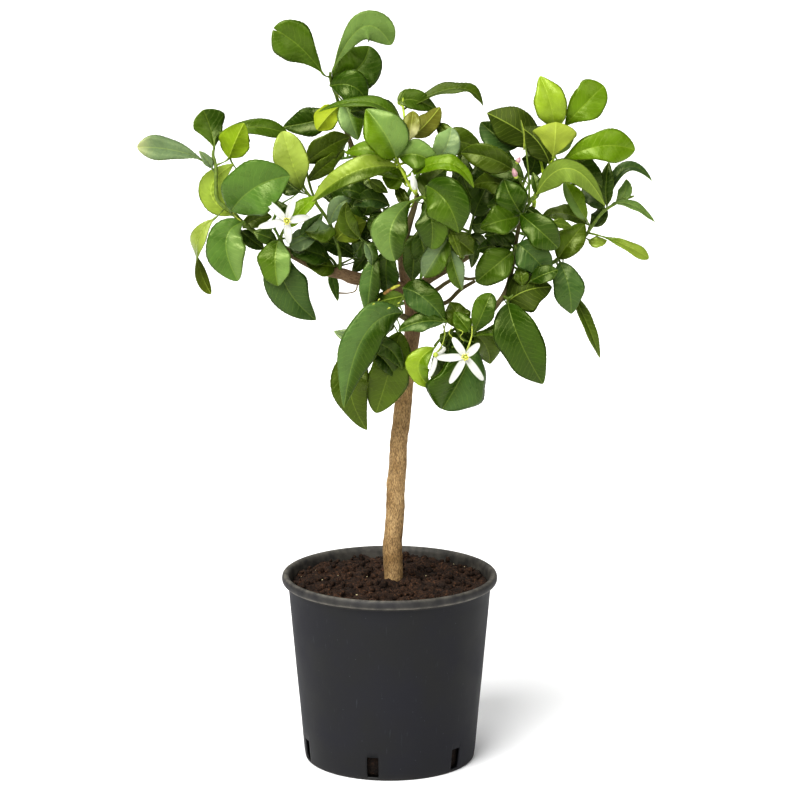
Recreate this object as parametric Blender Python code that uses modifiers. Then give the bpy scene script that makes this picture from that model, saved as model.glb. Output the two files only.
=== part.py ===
"""A potted lemon tree: a standard on one trunk, with leafy shoots, white flowers and buds, in a nursery pot.

Metres, +Z up. The origin is the middle of the pot's base, +X is to the viewer's right and +Y away from the
viewer. The layout of the crown is read off a picture by eye: a place is written (x, y, near), where x and y
are pixels of an 800 x 800 picture and near is the distance in millimetres that the place stands before the
upright plane through the trunk. Sizes of things (widths, radii, thicknesses) are real millimetres.
"""

import math
from typing import NamedTuple

import bmesh
import bpy
import numpy as np
from mathutils import Vector

MM = 0.001
OBJECT_NAME = "potted_lemon_tree"
JOINT_GAP = 0.35 * MM  # between pieces that touch
CRUMB = 2.0 * MM**3  # a loose body of less volume than this is no leaf

# The eye that the layout was read from
EYE = np.array([0.0111, -3.3012, 1.1054])
EYE_PITCH = -0.21305
EYE_FOCAL = 3200.0
EYE_CENTRE = 400.0

# Pot, in millimetres
POT_HEIGHT = 203.0
POT_RIM_RADIUS = 115.0
POT_BASE_RADIUS = 91.0
POT_WALL = 1.8
POT_FLOOR = 3.0
BEAD_HEIGHT = 10.0
BEAD_OUT = 6.5  # how far the rolled rim stands out from the wall
POT_STEPS = 42
SLOT_WIDTH = 12.0
SLOT_BOTTOM = 3.6
SLOT_TOP = 26.0
SLOT_DEPTH = 12.0  # of the cutter, well through the wall
SLOT_COUNT = 6
SLOT_TURN = -11.0  # degrees from straight at the viewer to the first slot

# Soil, in millimetres
SOIL_TOP = 190.0
SOIL_LUMP = 2.2
SOIL_RINGS = 5
SOIL_SECTORS = 32
SOIL_LEVELS = (8.0, 60.0, 120.0, 165.0)  # heights of the buried rings
SOIL_FOOT_IN = 1.2  # how much narrower the plug starts
SOIL_WALL_IN = 0.9
HOLE_RADIUS = 11.4
HOLE_BOTTOM = 140.0
HOLE_SIDES = 16

# Trunk and stems, in millimetres
TRUNK_X = 4.2
TRUNK_FOOT = (393.5, 577, 0)  # the place where the trunk leaves the soil
TRUNK_FOOT_RADIUS = 10.2
TRUNK_END_RADIUS = 9.4
TRUNK_BURIED = 14.0  # how far under the soil's top the trunk starts to narrow
TRUNK_SIDES = 10
STEM_SIDES = 4

# Blades, in millimetres
BLADE_THICK = 1.1
STALK_RADIUS = 0.95
SHARPEST_STALK = -0.2  # cosine of the sharpest bend between a stalk and its blade that one loft can take
STALK_SLANT = 9.0 * MM  # how far back along its own line a leaf looks for the stem
STALK_INSET = 2.2 * MM  # a stalk keeps this far from the ends of the stem that it grows on
POINTED_STEPS = (0.16, 0.42, 0.72)  # shares of a pointed blade's length at which it has a section
BLUNT_STEPS = (0.2, 0.5, 0.78, 0.94)
FOLD = 0.22  # how far the margins lift for each millimetre of half width

# Flowers and buds, in millimetres
PETAL_WIDE = 9.5
PETAL_THICK = 0.9
PETAL_STEPS = (0.0, 0.35, 0.72)
PETAL_FOOT = 0.36  # a petal's width where it leaves the hub, as a share of its widest
PETAL_START = 0.8
PETAL_ARCH = 2.2
PETAL_FOLD = 0.25
HUB_RADIUS = 2.7
HUB_HALF = 1.1
HUB_SIDES = 10
HEART_RADIUS = 1.6
HEART_HALF = 2.3
HEART_SIDES = 8
PEDICEL_RADIUS = 1.0
PEDICEL_BEND = 6.0  # how far behind a flower its stalk turns to face it
BUD_STALK_RADIUS = 0.9
BUD_STALK_BEND = 3.0

# Leaves on the far side, set against the leaf that each one stands behind
BACK_LENGTH = 0.84
BACK_WIDTH = 0.88
BACK_SWING = 26.0  # mm that one end comes nearer
BACK_ROLL = 18.0  # degrees

# Base colour and roughness of each finish
FINISHES = {
    "dark_grey_plastic": ((0.04, 0.042, 0.047), 0.55),
    "dark_peat": ((0.03, 0.014, 0.009), 0.95),
    "tan_bark": ((0.30, 0.19, 0.10), 0.85),
    "citrus_leaf": ((0.05, 0.16, 0.012), 0.4),
    "white_petal": ((0.85, 0.85, 0.82), 0.5),
    "yellow_anther": ((0.75, 0.62, 0.06), 0.6),
    "pink_bud": ((0.62, 0.38, 0.40), 0.55),
}


class Leaf(NamedTuple):
    """One leaf: where its blade starts, passes halfway and ends, how wide it is and how it is turned."""

    base: tuple
    via: tuple
    tip: tuple
    wide: float  # mm, across the widest place
    roll: float = 0.0  # degrees that the blade is turned about its midrib
    twist: float = 0.0  # degrees more of roll from base to tip
    blunt: bool = False
    under: bool = False  # the underside faces the viewer


# Woody limbs: (x, y, near, radius in mm)
LIMBS = {
    "trunk": [
        (392.5, 550, 0, 10.3), (393.3, 535, 0, 9.9), (395.0, 515, 0, 9.8), (395.6, 492, 0, 9.7),
        (398.0, 462, 0, 9.4), (398.4, 443, 0, 9.3), (401.0, 425, 0, 9.3), (402.8, 408, 0, 9.1),
        (406.0, 375, 0, 8.7), (409.5, 352, 0, 8.4), (412.2, 333, 0, 8.4), (412.0, 310, 0, 7.8),
        (409.5, 292, 0, 7.0), (405.5, 277, 2, 6.2), (403.0, 262, 10, 5.2), (404.0, 244, 28, 4.4),
        (409.0, 224, 55, 3.6), (415.0, 205, 84, 2.8), (417.0, 195, 98, 2.4),
    ],
    "left": [
        (410, 292, 0, 5.6), (386, 283, 14, 6.3), (366, 280, 24, 6.4), (352, 277.5, 30, 6.9),
        (343, 274, 34, 6.0), (325, 270, 42, 5.7), (300, 258, 48, 4.9), (276, 244.5, 53, 4.0),
        (255, 232, 57, 3.0),
    ],
    "right": [
        (410, 294, 0, 4.6), (426, 281, -16, 4.6), (448, 268, -30, 4.3), (474, 252, -40, 3.8),
        (500, 238, -44, 3.2), (522, 219, -42, 2.7), (534, 206, -38, 2.3),
    ],
    "front": [
        (412, 326, 0, 3.6), (428, 317, 26, 3.8), (449, 315, 56, 3.5), (470, 321, 80, 3.0),
        (486, 316, 86, 2.8), (499, 302, 84, 2.6), (507, 288, 78, 2.4), (512, 268, 72, 2.3),
        (515.5, 244, 68, 2.2), (520, 221, 64, 2.0),
    ],
    "top": [
        (404, 264, 8, 3.6), (391, 240, -14, 4.0), (375, 204, -24, 3.4), (361, 168, -26, 3.0),
        (349, 139, -22, 2.6), (341, 112, -17, 2.2),
    ],
    "back": [(407, 284, 0, 4.6), (402, 262, -45, 4.2), (398, 240, -85, 3.6), (400, 216, -118, 3.0)],
    "fork": [
        (412, 304, 0, 2.8), (436, 290, -12, 2.2), (446, 283, -16, 2.1), (457, 278, -20, 1.9),
        (471, 279, -24, 1.6), (482, 276, -28, 1.3),
    ],
    "fork_low": [
        (410, 309, 0, 2.8), (430, 306, 8, 2.5), (447, 302, 6, 2.2), (460, 290, 4, 2.0), (475, 281, 0, 1.7),
    ],
    "low": [(411, 322, 0, 3.2), (404, 317, 24, 3.2), (397, 314, 46, 2.6)],
}


class Shoot(NamedTuple):
    """A leafy shoot: the limb it grows on (its end, or its side nearest the stem), its stems and leaves."""

    limb: str
    at_end: bool
    stems: list
    leaves: list


SHOOTS = {
    "shoot_top": Shoot("top", True, [
        [(340.6, 110, -17, 1.9), (336, 95, -12, 1.7), (331, 82, -5, 1.5), (330, 72, 0, 1.3)],
    ], [
        Leaf((323, 74, 6), (298, 47, 18), (272, 25, 22), 45, 0, blunt=True),
        Leaf((333, 70, 4), (361, 30, 24), (395, 45, 14), 38, -10, blunt=True),
        Leaf((332, 80, -6), (357, 65, 0), (366, 42, -12), 50, -10),
        Leaf((331, 86, 6), (351, 88, 16), (371, 94, 10), 33, 10),
        Leaf((341, 106, -2), (330, 116, 12), (317, 131, 16), 28, 0, under=True, blunt=True),
        Leaf((332, 116, -20), (310, 122, -16), (283, 127, -22), 30, 10),
        Leaf((343, 102, 0), (351, 121, 8), (358, 141, 8), 26, 20),
    ]),
    "shoot_left_end": Shoot("left", True, [
        [(254, 231.4, 57, 2.4), (242, 222, 61, 2.3), (231, 211, 62, 2.1), (218, 200, 60, 2.0),
         (216, 184, 56, 1.9),
         (216, 168, 52, 1.8), (213, 155, 48, 1.6), (214, 149, 46, 1.4)],
    ], [
        Leaf((211, 168, 50), (183, 153, 60), (136, 145, 66), 29, 75, -75, blunt=True),
        Leaf((214, 149, 42), (210, 129, 32), (202, 108, 30), 30, 20),
        Leaf((216, 142, 38), (252, 128, 42), (290, 129, 26), 26, 50),
        Leaf((229, 158, 54), (236, 140, 62), (241, 121, 60), 42, 10, under=True, blunt=True),
        Leaf((232, 210, 72), (256, 187, 92), (290, 174, 86), 61, -5),
        Leaf((230, 213, 56), (212, 190, 48), (235, 164, 40), 32, 20, under=True),
        Leaf((246, 225, 72), (221, 236, 88), (233, 281, 86), 52, 10, blunt=True),
        Leaf((220, 217, 60), (201, 250, 62), (208, 296, 56), 22, 0, 150, blunt=True),
    ]),
    "shoot_left_low": Shoot("left", False, [
        [(286, 248, 52, 1.8), (281, 238, 66, 1.6), (284, 229, 82, 1.4)],
        [(286, 246, 56, 1.4), (280, 249, 66, 1.3), (277, 252, 68, 1.2)],
    ], [
        Leaf((277, 240, 74), (275, 263, 88), (279, 288, 84), 38, 10),
        Leaf((279, 252, 62), (287, 288, 74), (316, 320, 56), 44, -5),
        Leaf((290, 247, 60), (302, 240, 66), (318, 236, 60), 24, 20),
        Leaf((284, 240, 72), (300, 222, 76), (318, 200, 66), 19, 30),
        Leaf((277, 241, 68), (265, 236, 74), (253, 232, 72), 16, 10),
    ]),
    "shoot_left_under": Shoot("left", False, [
        [(338, 271, 34, 1.8), (334, 262, 28, 1.6), (326, 255, 22, 1.4), (314, 251, 18, 1.3)],
    ], [
        Leaf((330, 258, 24), (308, 251, 20), (290, 247, 12), 30, 30),
        Leaf((332, 262, 22), (322, 262, 14), (306, 264, 4), 24, 20),
        Leaf((356, 258, 22), (331, 243, 26), (301, 242, 22), 22, 25),
        Leaf((326, 266, 18), (331, 284, 18), (337, 301, 14), 12, 20),
    ]),
    "shoot_left_up": Shoot("left", False, [
        [(340, 272, 36, 2.0), (340, 256, 46, 1.9), (336, 240, 50, 1.8), (329, 222, 52, 1.7),
         (318, 206, 52, 1.6), (306, 191, 50, 1.4), (303, 184, 49, 1.2)],
        [(318, 206, 52, 1.4), (312, 192, 40, 1.3), (308, 178, 34, 1.2), (306, 168, 31, 1.1)],
    ], [
        Leaf((302, 187, 54), (293, 160, 62), (284, 131, 56), 38, 5, blunt=True),
        Leaf((306, 163, 31), (328, 147, 32), (350, 137, 22), 30, -20),
        Leaf((308, 181, 34), (326, 165, 34), (345, 150, 24), 23, -20),
        Leaf((300, 192, 44), (289, 184, 36), (276, 173, 28), 26, 10),
        Leaf((330, 224, 60), (338, 206, 72), (352, 199, 70), 18, 10),
        Leaf((331, 226, 56), (322, 231, 64), (305, 231, 66), 26, 20),
        Leaf((336, 240, 54), (350, 228, 52), (366, 222, 42), 32, 10, under=True),
    ]),
    "shoot_crown": Shoot("trunk", True, [
        [(416.6, 193, 99, 2.2), (412, 188, 98, 2.0), (408, 183, 96, 1.8), (404, 174, 96, 1.7),
         (399, 165, 96, 1.6), (397, 156, 94, 1.5), (402, 147, 84, 1.4), (407, 139, 74, 1.3),
         (405, 122, 58, 1.2), (403, 106, 46, 1.1), (403, 97, 42, 1.0)],
        [(399, 165, 96, 1.3), (412, 160, 84, 1.2), (428, 159, 66, 1.1), (437, 157, 54, 1.0)],
    ], [
        Leaf((403, 136, 70), (374, 103, 66), (318, 112, 48), 24, 60),
        Leaf((395, 157, 104), (383, 134, 116), (364, 110, 106), 47, 10),
        Leaf((400, 119, 56), (375, 111, 52), (350, 112, 38), 28, 20),
        Leaf((393, 160, 98), (370, 150, 104), (345, 153, 92), 22, 35),
        Leaf((395, 168, 100), (353, 169, 118), (306, 200, 100), 42, 38),
        Leaf((399, 157, 100), (418, 156, 110), (438, 167, 104), 29, 10),
        Leaf((408, 176, 102), (444, 165, 124), (475, 188, 118), 24, 50),
        Leaf((436, 161, 60), (446, 145, 68), (450, 127, 58), 27, 0),
        Leaf((437, 155, 46), (457, 138, 42), (482, 149, 32), 36, 10),
        Leaf((413, 137, 64), (428, 122, 56), (440, 107, 44), 24, 15, under=True),
        Leaf((408, 141, 80), (411, 127, 80), (413, 111, 72), 19, 10, blunt=True),
        Leaf((398, 103, 44), (414, 100, 40), (438, 111, 28), 23, 20),
        Leaf((404, 109, 40), (457, 88, 26), (483, 106, 20), 22, 58),
        Leaf((402, 178, 86), (394, 179, 84), (382, 177, 76), 22, 10),
        Leaf((405, 184, 86), (393, 172, 80), (366, 174, 70), 18, 40),
    ]),
    "shoot_front": Shoot("trunk", False, [
        [(416, 203, 90, 2.0), (423, 197, 108, 1.9), (434, 205, 120, 1.8), (445, 221, 124, 1.6),
         (450, 236, 118, 1.5), (448, 247, 110, 1.3)],
        [(423, 197, 108, 1.5), (414, 200, 114, 1.4), (408, 203, 112, 1.2)],
    ], [
        Leaf((410, 200, 112), (391, 227, 140), (396, 261, 132), 42, 12),
        Leaf((427, 191, 124), (447, 205, 148), (460, 234, 138), 50, -10),
        Leaf((425, 202, 116), (432, 223, 132), (431, 249, 122), 35, -10),
        Leaf((449, 238, 112), (437, 256, 116), (424, 277, 104), 26, 10),
        Leaf((447, 240, 104), (436, 246, 98), (419, 284, 86), 20, 50),
        Leaf((450, 250, 108), (455, 270, 112), (462, 290, 104), 20, 10),
        Leaf((449, 228, 128), (455, 242, 136), (461, 258, 130), 10, 20),
        Leaf((452, 236, 104), (463, 244, 98), (474, 254, 88), 24, 10),
        Leaf((425, 198, 100), (432, 181, 92), (447, 168, 80), 26, 10),
    ]),
    "shoot_inner": Shoot("trunk", False, [
        [(404, 246, 26, 2.2), (394, 246, 44, 2.0), (385, 249, 58, 1.8), (373, 247, 66, 1.6),
         (362, 240, 70, 1.4)],
        [(394, 246, 44, 1.6), (386, 228, 56, 1.5), (384, 210, 66, 1.3)],
    ], [
        Leaf((375, 254, 68), (370, 284, 74), (367, 314, 64), 22, 10),
        Leaf((388, 250, 62), (386, 272, 60), (388, 295, 48), 28, 10),
        Leaf((365, 243, 74), (371, 252, 78), (372, 266, 72), 16, 30),
        Leaf((389, 205, 72), (370, 199, 82), (353, 205, 74), 20, 10),
        Leaf((386, 214, 70), (377, 222, 76), (373, 236, 70), 20, 10),
        Leaf((384, 208, 62), (366, 190, 58), (366, 172, 50), 22, 10),
        Leaf((360, 238, 82), (347, 222, 92), (347, 202, 90), 20, 10),
        Leaf((362, 241, 62), (358, 250, 54), (352, 254, 38), 18, 10),
        Leaf((383, 208, 72), (356, 192, 76), (342, 192, 70), 22, 30),
    ]),
    "shoot_low_left": Shoot("low", True, [
        [(396.6, 313.8, 47, 2.3), (390, 313, 60, 2.0), (382, 322, 66, 1.8), (374, 336, 66, 1.6),
         (370, 346, 62, 1.4)],
        [(390, 313, 60, 1.6), (396, 308, 72, 1.4), (402, 300, 78, 1.3), (405, 291, 80, 1.2)],
    ], [
        Leaf((395, 315, 74), (357, 333, 98), (349, 396, 86), 42, -40),
        Leaf((369, 350, 54), (360, 376, 50), (347, 405, 40), 30, 10),
        Leaf((369, 346, 72), (351, 386, 82), (368, 430, 70), 40, 10),
        Leaf((397, 330, 84), (385, 372, 98), (379, 415, 86), 50, -5),
        Leaf((372, 343, 56), (388, 350, 52), (404, 368, 40), 22, 10),
        Leaf((371, 350, 48), (384, 362, 40), (397, 379, 26), 24, 10),
        Leaf((444, 322, 100), (420, 322, 104), (398, 331, 100), 20, 20),
        Leaf((403, 288, 84), (424, 298, 98), (445, 321, 92), 33, 10),
        Leaf((404, 296, 72), (386, 300, 68), (368, 304, 58), 20, 15, under=True),
        Leaf((391, 316, 52), (385, 325, 48), (372, 337, 38), 20, 10),
    ]),
    "shoot_low_right": Shoot("front", False, [
        [(455, 317, 62, 2.0), (456, 328, 74, 1.9), (461, 337, 82, 1.8), (466, 341, 86, 1.6)],
        [(456, 328, 74, 1.5), (444, 336, 86, 1.4), (434, 346, 90, 1.2)],
        [(456, 328, 74, 1.5), (464, 328, 84, 1.4), (472, 333, 88, 1.2)],
    ], [
        Leaf((434, 348, 92), (418, 366, 94), (431, 388, 86), 25, 20),
        Leaf((465, 350, 84), (463, 377, 98), (443, 405, 84), 57, 0, blunt=True),
        Leaf((460, 344, 70), (450, 340, 66), (440, 334, 56), 20, 10),
        Leaf((470, 330, 98), (479, 312, 110), (489, 293, 104), 31, 5),
        Leaf((467, 330, 86), (463, 321, 84), (457, 311, 76), 20, 10),
        Leaf((474, 334, 94), (492, 326, 100), (513, 321, 92), 24, 55),
        Leaf((474, 337, 78), (484, 346, 70), (487, 362, 58), 26, 10),
        Leaf((461, 329, 88), (457, 315, 84), (450, 302, 72), 26, 10),
    ]),
    "shoot_right_low": Shoot("front", False, [
        [(503, 296, 82, 1.9), (508, 299, 88, 1.7), (508, 304, 92, 1.5)],
        [(508, 299, 88, 1.6), (519, 291, 84, 1.5), (531, 280, 76, 1.3)],
    ], [
        Leaf((508, 303, 98), (518, 340, 116), (543, 384, 100), 50, -8),
        Leaf((507, 303, 84), (528, 287, 90), (552, 288, 78), 30, 25, under=True),
        Leaf((508, 304, 82), (508, 320, 76), (516, 336, 62), 24, 10),
        Leaf((531, 281, 88), (545, 274, 94), (558, 270, 92), 20, 20),
        Leaf((522, 286, 86), (521, 276, 86), (518, 267, 80), 16, 10),
    ]),
    "shoot_right_front": Shoot("front", True, [
        [(520.4, 219, 64, 1.9), (524, 212, 66, 1.8), (529, 204, 66, 1.7), (533, 196, 66, 1.6)],
        [(529, 204, 66, 1.3), (522, 184, 68, 1.2), (512, 169, 74, 1.0)],
        [(529, 204, 66, 1.2), (529, 180, 60, 1.0), (526, 150, 54, 0.9), (521, 121, 50, 0.8)],
    ], [
        Leaf((512, 169, 76), (488, 160, 88), (461, 155, 78), 25, 20),
        Leaf((522, 214, 74), (511, 197, 82), (504, 179, 72), 33, 5),
        Leaf((519, 217, 74), (500, 221, 94), (480, 228, 92), 30, 15),
        Leaf((522, 215, 76), (541, 230, 98), (560, 248, 92), 30, 0),
        Leaf((520, 218, 58), (508, 206, 50), (487, 206, 38), 30, 10),
        Leaf((526, 206, 56), (500, 184, 44), (472, 186, 30), 26, 10),
        Leaf((524, 180, 54), (500, 166, 46), (480, 160, 32), 26, 10),
    ]),
    "shoot_right_inner": Shoot("front", False, [
        [(514, 256, 70, 1.8), (516, 250, 80, 1.6), (515, 245, 84, 1.4)],
    ], [
        Leaf((512, 252, 82), (494, 267, 94), (476, 282, 84), 36, 5),
        Leaf((512, 247, 76), (495, 246, 78), (477, 250, 66), 22, 15),
        Leaf((518, 244, 80), (533, 257, 86), (552, 278, 74), 36, 0),
        Leaf((513, 244, 74), (501, 236, 74), (484, 236, 62), 24, 10),
    ]),
    "shoot_right_top": Shoot("right", True, [
        [(535, 205, -37, 2.2), (535, 196, -20, 2.1), (540, 187, 8, 2.0), (544, 178, 32, 1.9),
         (550, 168, 48, 1.8), (553, 160, 54, 1.6)],
        [(544, 178, 32, 1.5), (540, 160, 28, 1.4), (530, 148, 22, 1.3), (518, 143, 14, 1.2)],
    ], [
        Leaf((555, 130, 60), (549, 103, 68), (540, 76, 58), 38, 5),
        Leaf((565, 126, 54), (585, 107, 60), (604, 87, 46), 40, 0, blunt=True),
        Leaf((553, 158, 66), (556, 140, 78), (558, 121, 74), 45, 0, under=True, blunt=True),
        Leaf((557, 166, 58), (595, 146, 74), (636, 150, 56), 37, 10, blunt=True),
        Leaf((540, 184, 68), (570, 166, 94), (606, 204, 82), 34, 48, under=True),
        Leaf((541, 146, 22), (514, 127, 30), (487, 113, 16), 40, -5, under=True),
        Leaf((550, 164, 44), (539, 143, 44), (522, 128, 32), 32, -10, under=True),
        Leaf((518, 146, 10), (497, 136, 6), (481, 122, -6), 32, 10),
        Leaf((560, 166, 40), (582, 171, 48), (602, 188, 46), 34, 20),
    ]),
    "shoot_right_end": Shoot("front", False, [
        [(500, 301, 84, 2.4), (511, 292, 74, 2.3), (527, 274, 66, 2.2), (545, 266, 62, 2.1),
         (557, 260, 60, 2.0),
         (566, 250, 56, 1.9), (584, 237, 50, 1.8), (592, 226, 46, 1.7), (603, 212, 42, 1.6),
         (620, 201, 36, 1.4), (634, 196, 30, 1.2)],
    ], [
        Leaf((558, 259, 66), (571, 240, 68), (585, 224, 56), 33, 10),
        Leaf((587, 235, 54), (616, 243, 64), (651, 259, 56), 18, 20, 20),
        Leaf((560, 264, 68), (570, 289, 82), (571, 315, 74), 35, 10),
        Leaf((570, 289, 50), (590, 323, 62), (602, 357, 54), 22, 30),
        Leaf((586, 219, 56), (575, 200, 62), (564, 180, 54), 20, 15),
        Leaf((587, 224, 44), (563, 213, 44), (541, 218, 36), 22, 42),
        Leaf((604, 208, 34), (592, 196, 24), (583, 187, 10), 22, 10),
        Leaf((607, 205, 42), (606, 185, 42), (609, 162, 34), 17, 10),
        Leaf((604, 206, 34), (626, 168, 26), (652, 181, 12), 18, 50),
        Leaf((614, 203, 40), (634, 206, 42), (655, 222, 32), 14, 50),
        Leaf((616, 203, 36), (625, 192, 30), (626, 179, 20), 14, 10),
        Leaf((590, 226, 40), (600, 216, 32), (598, 206, 22), 18, 10),
    ]),
    # Shoots inside the crown, whose leaves show dark between the nearer ones
    "shoot_core_left": Shoot("top", False, [
        [(388, 232, -16, 2.0), (378, 226, 2, 1.8), (366, 218, 14, 1.6), (354, 208, 18, 1.3),
         (342, 200, 16, 1.1)],
        [(378, 226, 2, 1.5), (374, 240, 10, 1.4), (368, 252, 12, 1.2)],
    ], [
        Leaf((366, 217, 22), (352, 216, 24), (330, 208, 16), 30, 15),
        Leaf((352, 207, 22), (344, 192, 24), (340, 176, 14), 26, 10),
        Leaf((364, 215, 24), (368, 202, 28), (366, 186, 20), 26, 0),
        Leaf((372, 243, 18), (360, 250, 20), (356, 262, 12), 22, 10),
        Leaf((374, 238, 14), (366, 232, 20), (352, 236, 14), 24, 10),
        Leaf((344, 201, 12), (330, 192, 8), (318, 186, -4), 22, 20),
        Leaf((373, 230, 10), (388, 226, 20), (396, 240, 14), 26, 10),
    ]),
    "shoot_core_mid": Shoot("trunk", False, [
        [(405, 238, 36, 2.0), (416, 236, 48, 1.8), (421, 228, 60, 1.5), (424, 218, 68, 1.2)],
    ], [
        Leaf((415, 235, 62), (414, 256, 66), (412, 281, 54), 24, 10),
        Leaf((418, 230, 68), (424, 252, 70), (426, 276, 56), 26, -10),
        Leaf((424, 217, 76), (436, 206, 78), (454, 200, 66), 26, 10),
        Leaf((422, 224, 58), (442, 234, 60), (462, 232, 46), 30, 10),
    ]),
    "shoot_core_right": Shoot("right", False, [
        [(462, 260, -36, 2.0), (466, 248, -14, 1.9), (470, 232, 2, 1.7), (474, 214, 8, 1.5),
         (478, 196, 8, 1.2)],
        [(470, 232, 2, 1.4), (456, 226, 4, 1.2), (446, 220, 0, 1.0)],
    ], [
        Leaf((474, 216, 14), (480, 200, 18), (488, 184, 8), 30, 10),
        Leaf((476, 204, 14), (468, 190, 18), (462, 172, 8), 28, 10),
        Leaf((472, 224, 8), (484, 222, 12), (494, 210, 2), 26, 10),
        Leaf((470, 236, 8), (474, 252, 12), (471, 268, 2), 12, 10),
        Leaf((468, 238, 0), (478, 240, -4), (484, 250, -16), 14, 10),
        Leaf((456, 226, 10), (450, 242, 16), (454, 262, 6), 26, 10),
        Leaf((478, 197, 12), (484, 178, 8), (480, 156, -6), 30, -10),
        Leaf((476, 198, 4), (464, 180, -4), (462, 150, -18), 28, 10),
    ]),
    "shoot_core_upper": Shoot("right", False, [
        [(516, 225, -43, 2.0), (518, 206, -30, 1.8), (522, 188, -24, 1.6), (528, 172, -22, 1.3)],
        [(522, 188, -24, 1.4), (504, 176, -30, 1.2)],
    ], [
        Leaf((528, 174, -18), (535, 160, -14), (533, 142, -24), 26, 10),
        Leaf((504, 177, -26), (492, 164, -24), (474, 150, -36), 32, 10),
        Leaf((506, 176, -34), (502, 160, -40), (504, 142, -52), 26, 10),
        Leaf((520, 196, -22), (506, 200, -20), (490, 196, -30), 28, 10),
        Leaf((518, 208, -26), (530, 222, -26), (534, 240, -36), 28, 10),
    ]),
}


class BackShoot(NamedTuple):
    """A leafy shoot on the far side: limb, stems, and which seen leaves its own leaves stand behind."""

    limb: str
    at_end: bool
    stems: list
    behind: list  # (shoot, leaf number, near in mm)


BACK_SHOOTS = {
    "shoot_back_mid": BackShoot("back", True, [
        [(401, 214, -120, 2.6), (407, 198, -140, 2.3), (414, 182, -150, 2.0), (422, 168, -150, 1.7),
         (431, 154, -142, 1.3)],
        [(414, 182, -150, 1.7), (396, 180, -150, 1.6), (376, 172, -144, 1.4), (358, 164, -134, 1.1)],
        [(414, 182, -150, 1.7), (436, 198, -160, 1.5), (456, 196, -154, 1.2)],
    ], [
        ("shoot_crown", 1, -170), ("shoot_crown", 5, -180), ("shoot_crown", 7, -150),
        ("shoot_front", 1, -185), ("shoot_front", 2, -150), ("shoot_front", 0, -165),
        ("shoot_crown", 4, -130), ("shoot_left_up", 2, -140), ("shoot_crown", 8, -130),
    ]),
    "shoot_back_top": BackShoot("top", False, [
        [(361, 168, -26, 2.0), (368, 152, -60, 1.8), (374, 132, -84, 1.6), (372, 112, -90, 1.4),
         (362, 92, -84, 1.1)],
        [(368, 152, -60, 1.5), (346, 158, -76, 1.3), (326, 160, -84, 1.1)],
    ], [
        ("shoot_top", 2, -90), ("shoot_top", 3, -70), ("shoot_crown", 1, -80), ("shoot_crown", 2, -105),
        ("shoot_left_up", 1, -70), ("shoot_left_up", 2, -95),
    ]),
    "shoot_back_left": BackShoot("left", False, [
        [(270, 241, 54, 2.0), (269, 236, 20, 1.9), (272, 224, -14, 1.7), (276, 210, -40, 1.5),
         (268, 198, -56, 1.3), (256, 190, -52, 1.1)],
        [(272, 224, -14, 1.5), (280, 240, -34, 1.3), (284, 258, -42, 1.1)],
    ], [
        ("shoot_left_end", 4, -60), ("shoot_left_end", 5, -30), ("shoot_left_up", 0, -70),
        ("shoot_left_low", 0, -60), ("shoot_left_low", 1, -40), ("shoot_left_end", 6, -20),
        ("shoot_left_end", 3, -50), ("shoot_left_under", 2, -60),
    ]),
    "shoot_back_right": BackShoot("right", False, [
        [(500, 238, -44, 2.0), (506, 228, -76, 1.9), (516, 212, -104, 1.7), (526, 190, -118, 1.5),
         (540, 168, -116, 1.3), (556, 154, -104, 1.1)],
        [(506, 228, -76, 1.6), (530, 236, -96, 1.4), (556, 240, -92, 1.2)],
    ], [
        ("shoot_right_top", 2, -130), ("shoot_right_top", 3, -90), ("shoot_right_top", 5, -140),
        ("shoot_right_top", 6, -85), ("shoot_right_front", 1, -140), ("shoot_right_front", 3, -110),
        ("shoot_right_inner", 2, -80), ("shoot_right_top", 7, -110), ("shoot_right_end", 2, -50),
        ("shoot_right_top", 1, -50),
    ]),
    "shoot_back_low": BackShoot("trunk", False, [
        [(410, 300, 0, 2.0), (408, 302, -34, 1.9), (396, 306, -56, 1.7), (380, 318, -64, 1.4),
         (370, 332, -62, 1.1)],
        [(408, 302, -34, 1.7), (428, 306, -52, 1.5), (450, 318, -56, 1.3), (466, 338, -50, 1.1)],
    ], [
        ("shoot_low_left", 0, -60), ("shoot_low_left", 2, -50), ("shoot_low_left", 3, -80),
        ("shoot_low_left", 7, -80), ("shoot_low_right", 1, -60), ("shoot_inner", 0, -70),
        ("shoot_inner", 1, -50),
    ]),
    "shoot_back_low_right": BackShoot("right", False, [
        [(486, 245, -42, 2.0), (490, 254, -70, 1.8), (492, 266, -86, 1.5), (488, 276, -90, 1.2)],
        [(490, 254, -70, 1.5), (512, 266, -74, 1.3), (530, 276, -66, 1.1)],
    ], [
        ("shoot_right_inner", 0, -100), ("shoot_right_inner", 1, -60), ("shoot_right_low", 1, -60),
        ("shoot_right_inner", 2, -60),
    ]),
}


class Bloom(NamedTuple):
    """One open flower: its middle, its petals' tips, the way it faces, and the place its stalk grows from."""

    middle: tuple
    tips: list
    facing: tuple
    root: tuple
    shoot: str


BLOOMS = {
    "flower_left": Bloom((287, 221, 100), [
        (259, 227, 96), (267, 201, 98), (294, 198, 100), (309, 217, 96), (289, 243, 98),
    ], (0.0, -1.0, 0.15), (284, 229, 82), "shoot_left_low"),
    "flower_right": Bloom((465.5, 356.5, 124), [
        (453, 338, 120), (479, 344, 120), (483, 380, 120), (450, 383, 120), (437, 358, 119),
    ], (0.0, -1.0, 0.1), (466, 341, 86), "shoot_low_right"),
    "flower_small": Bloom((438, 353, 106), [
        (429, 377, 102), (440, 381, 106), (446, 347, 104), (433, 341, 98), (447, 366, 105),
    ], (0.75, -0.6, 0.3), (444, 336, 86), "shoot_low_right"),
}

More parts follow.
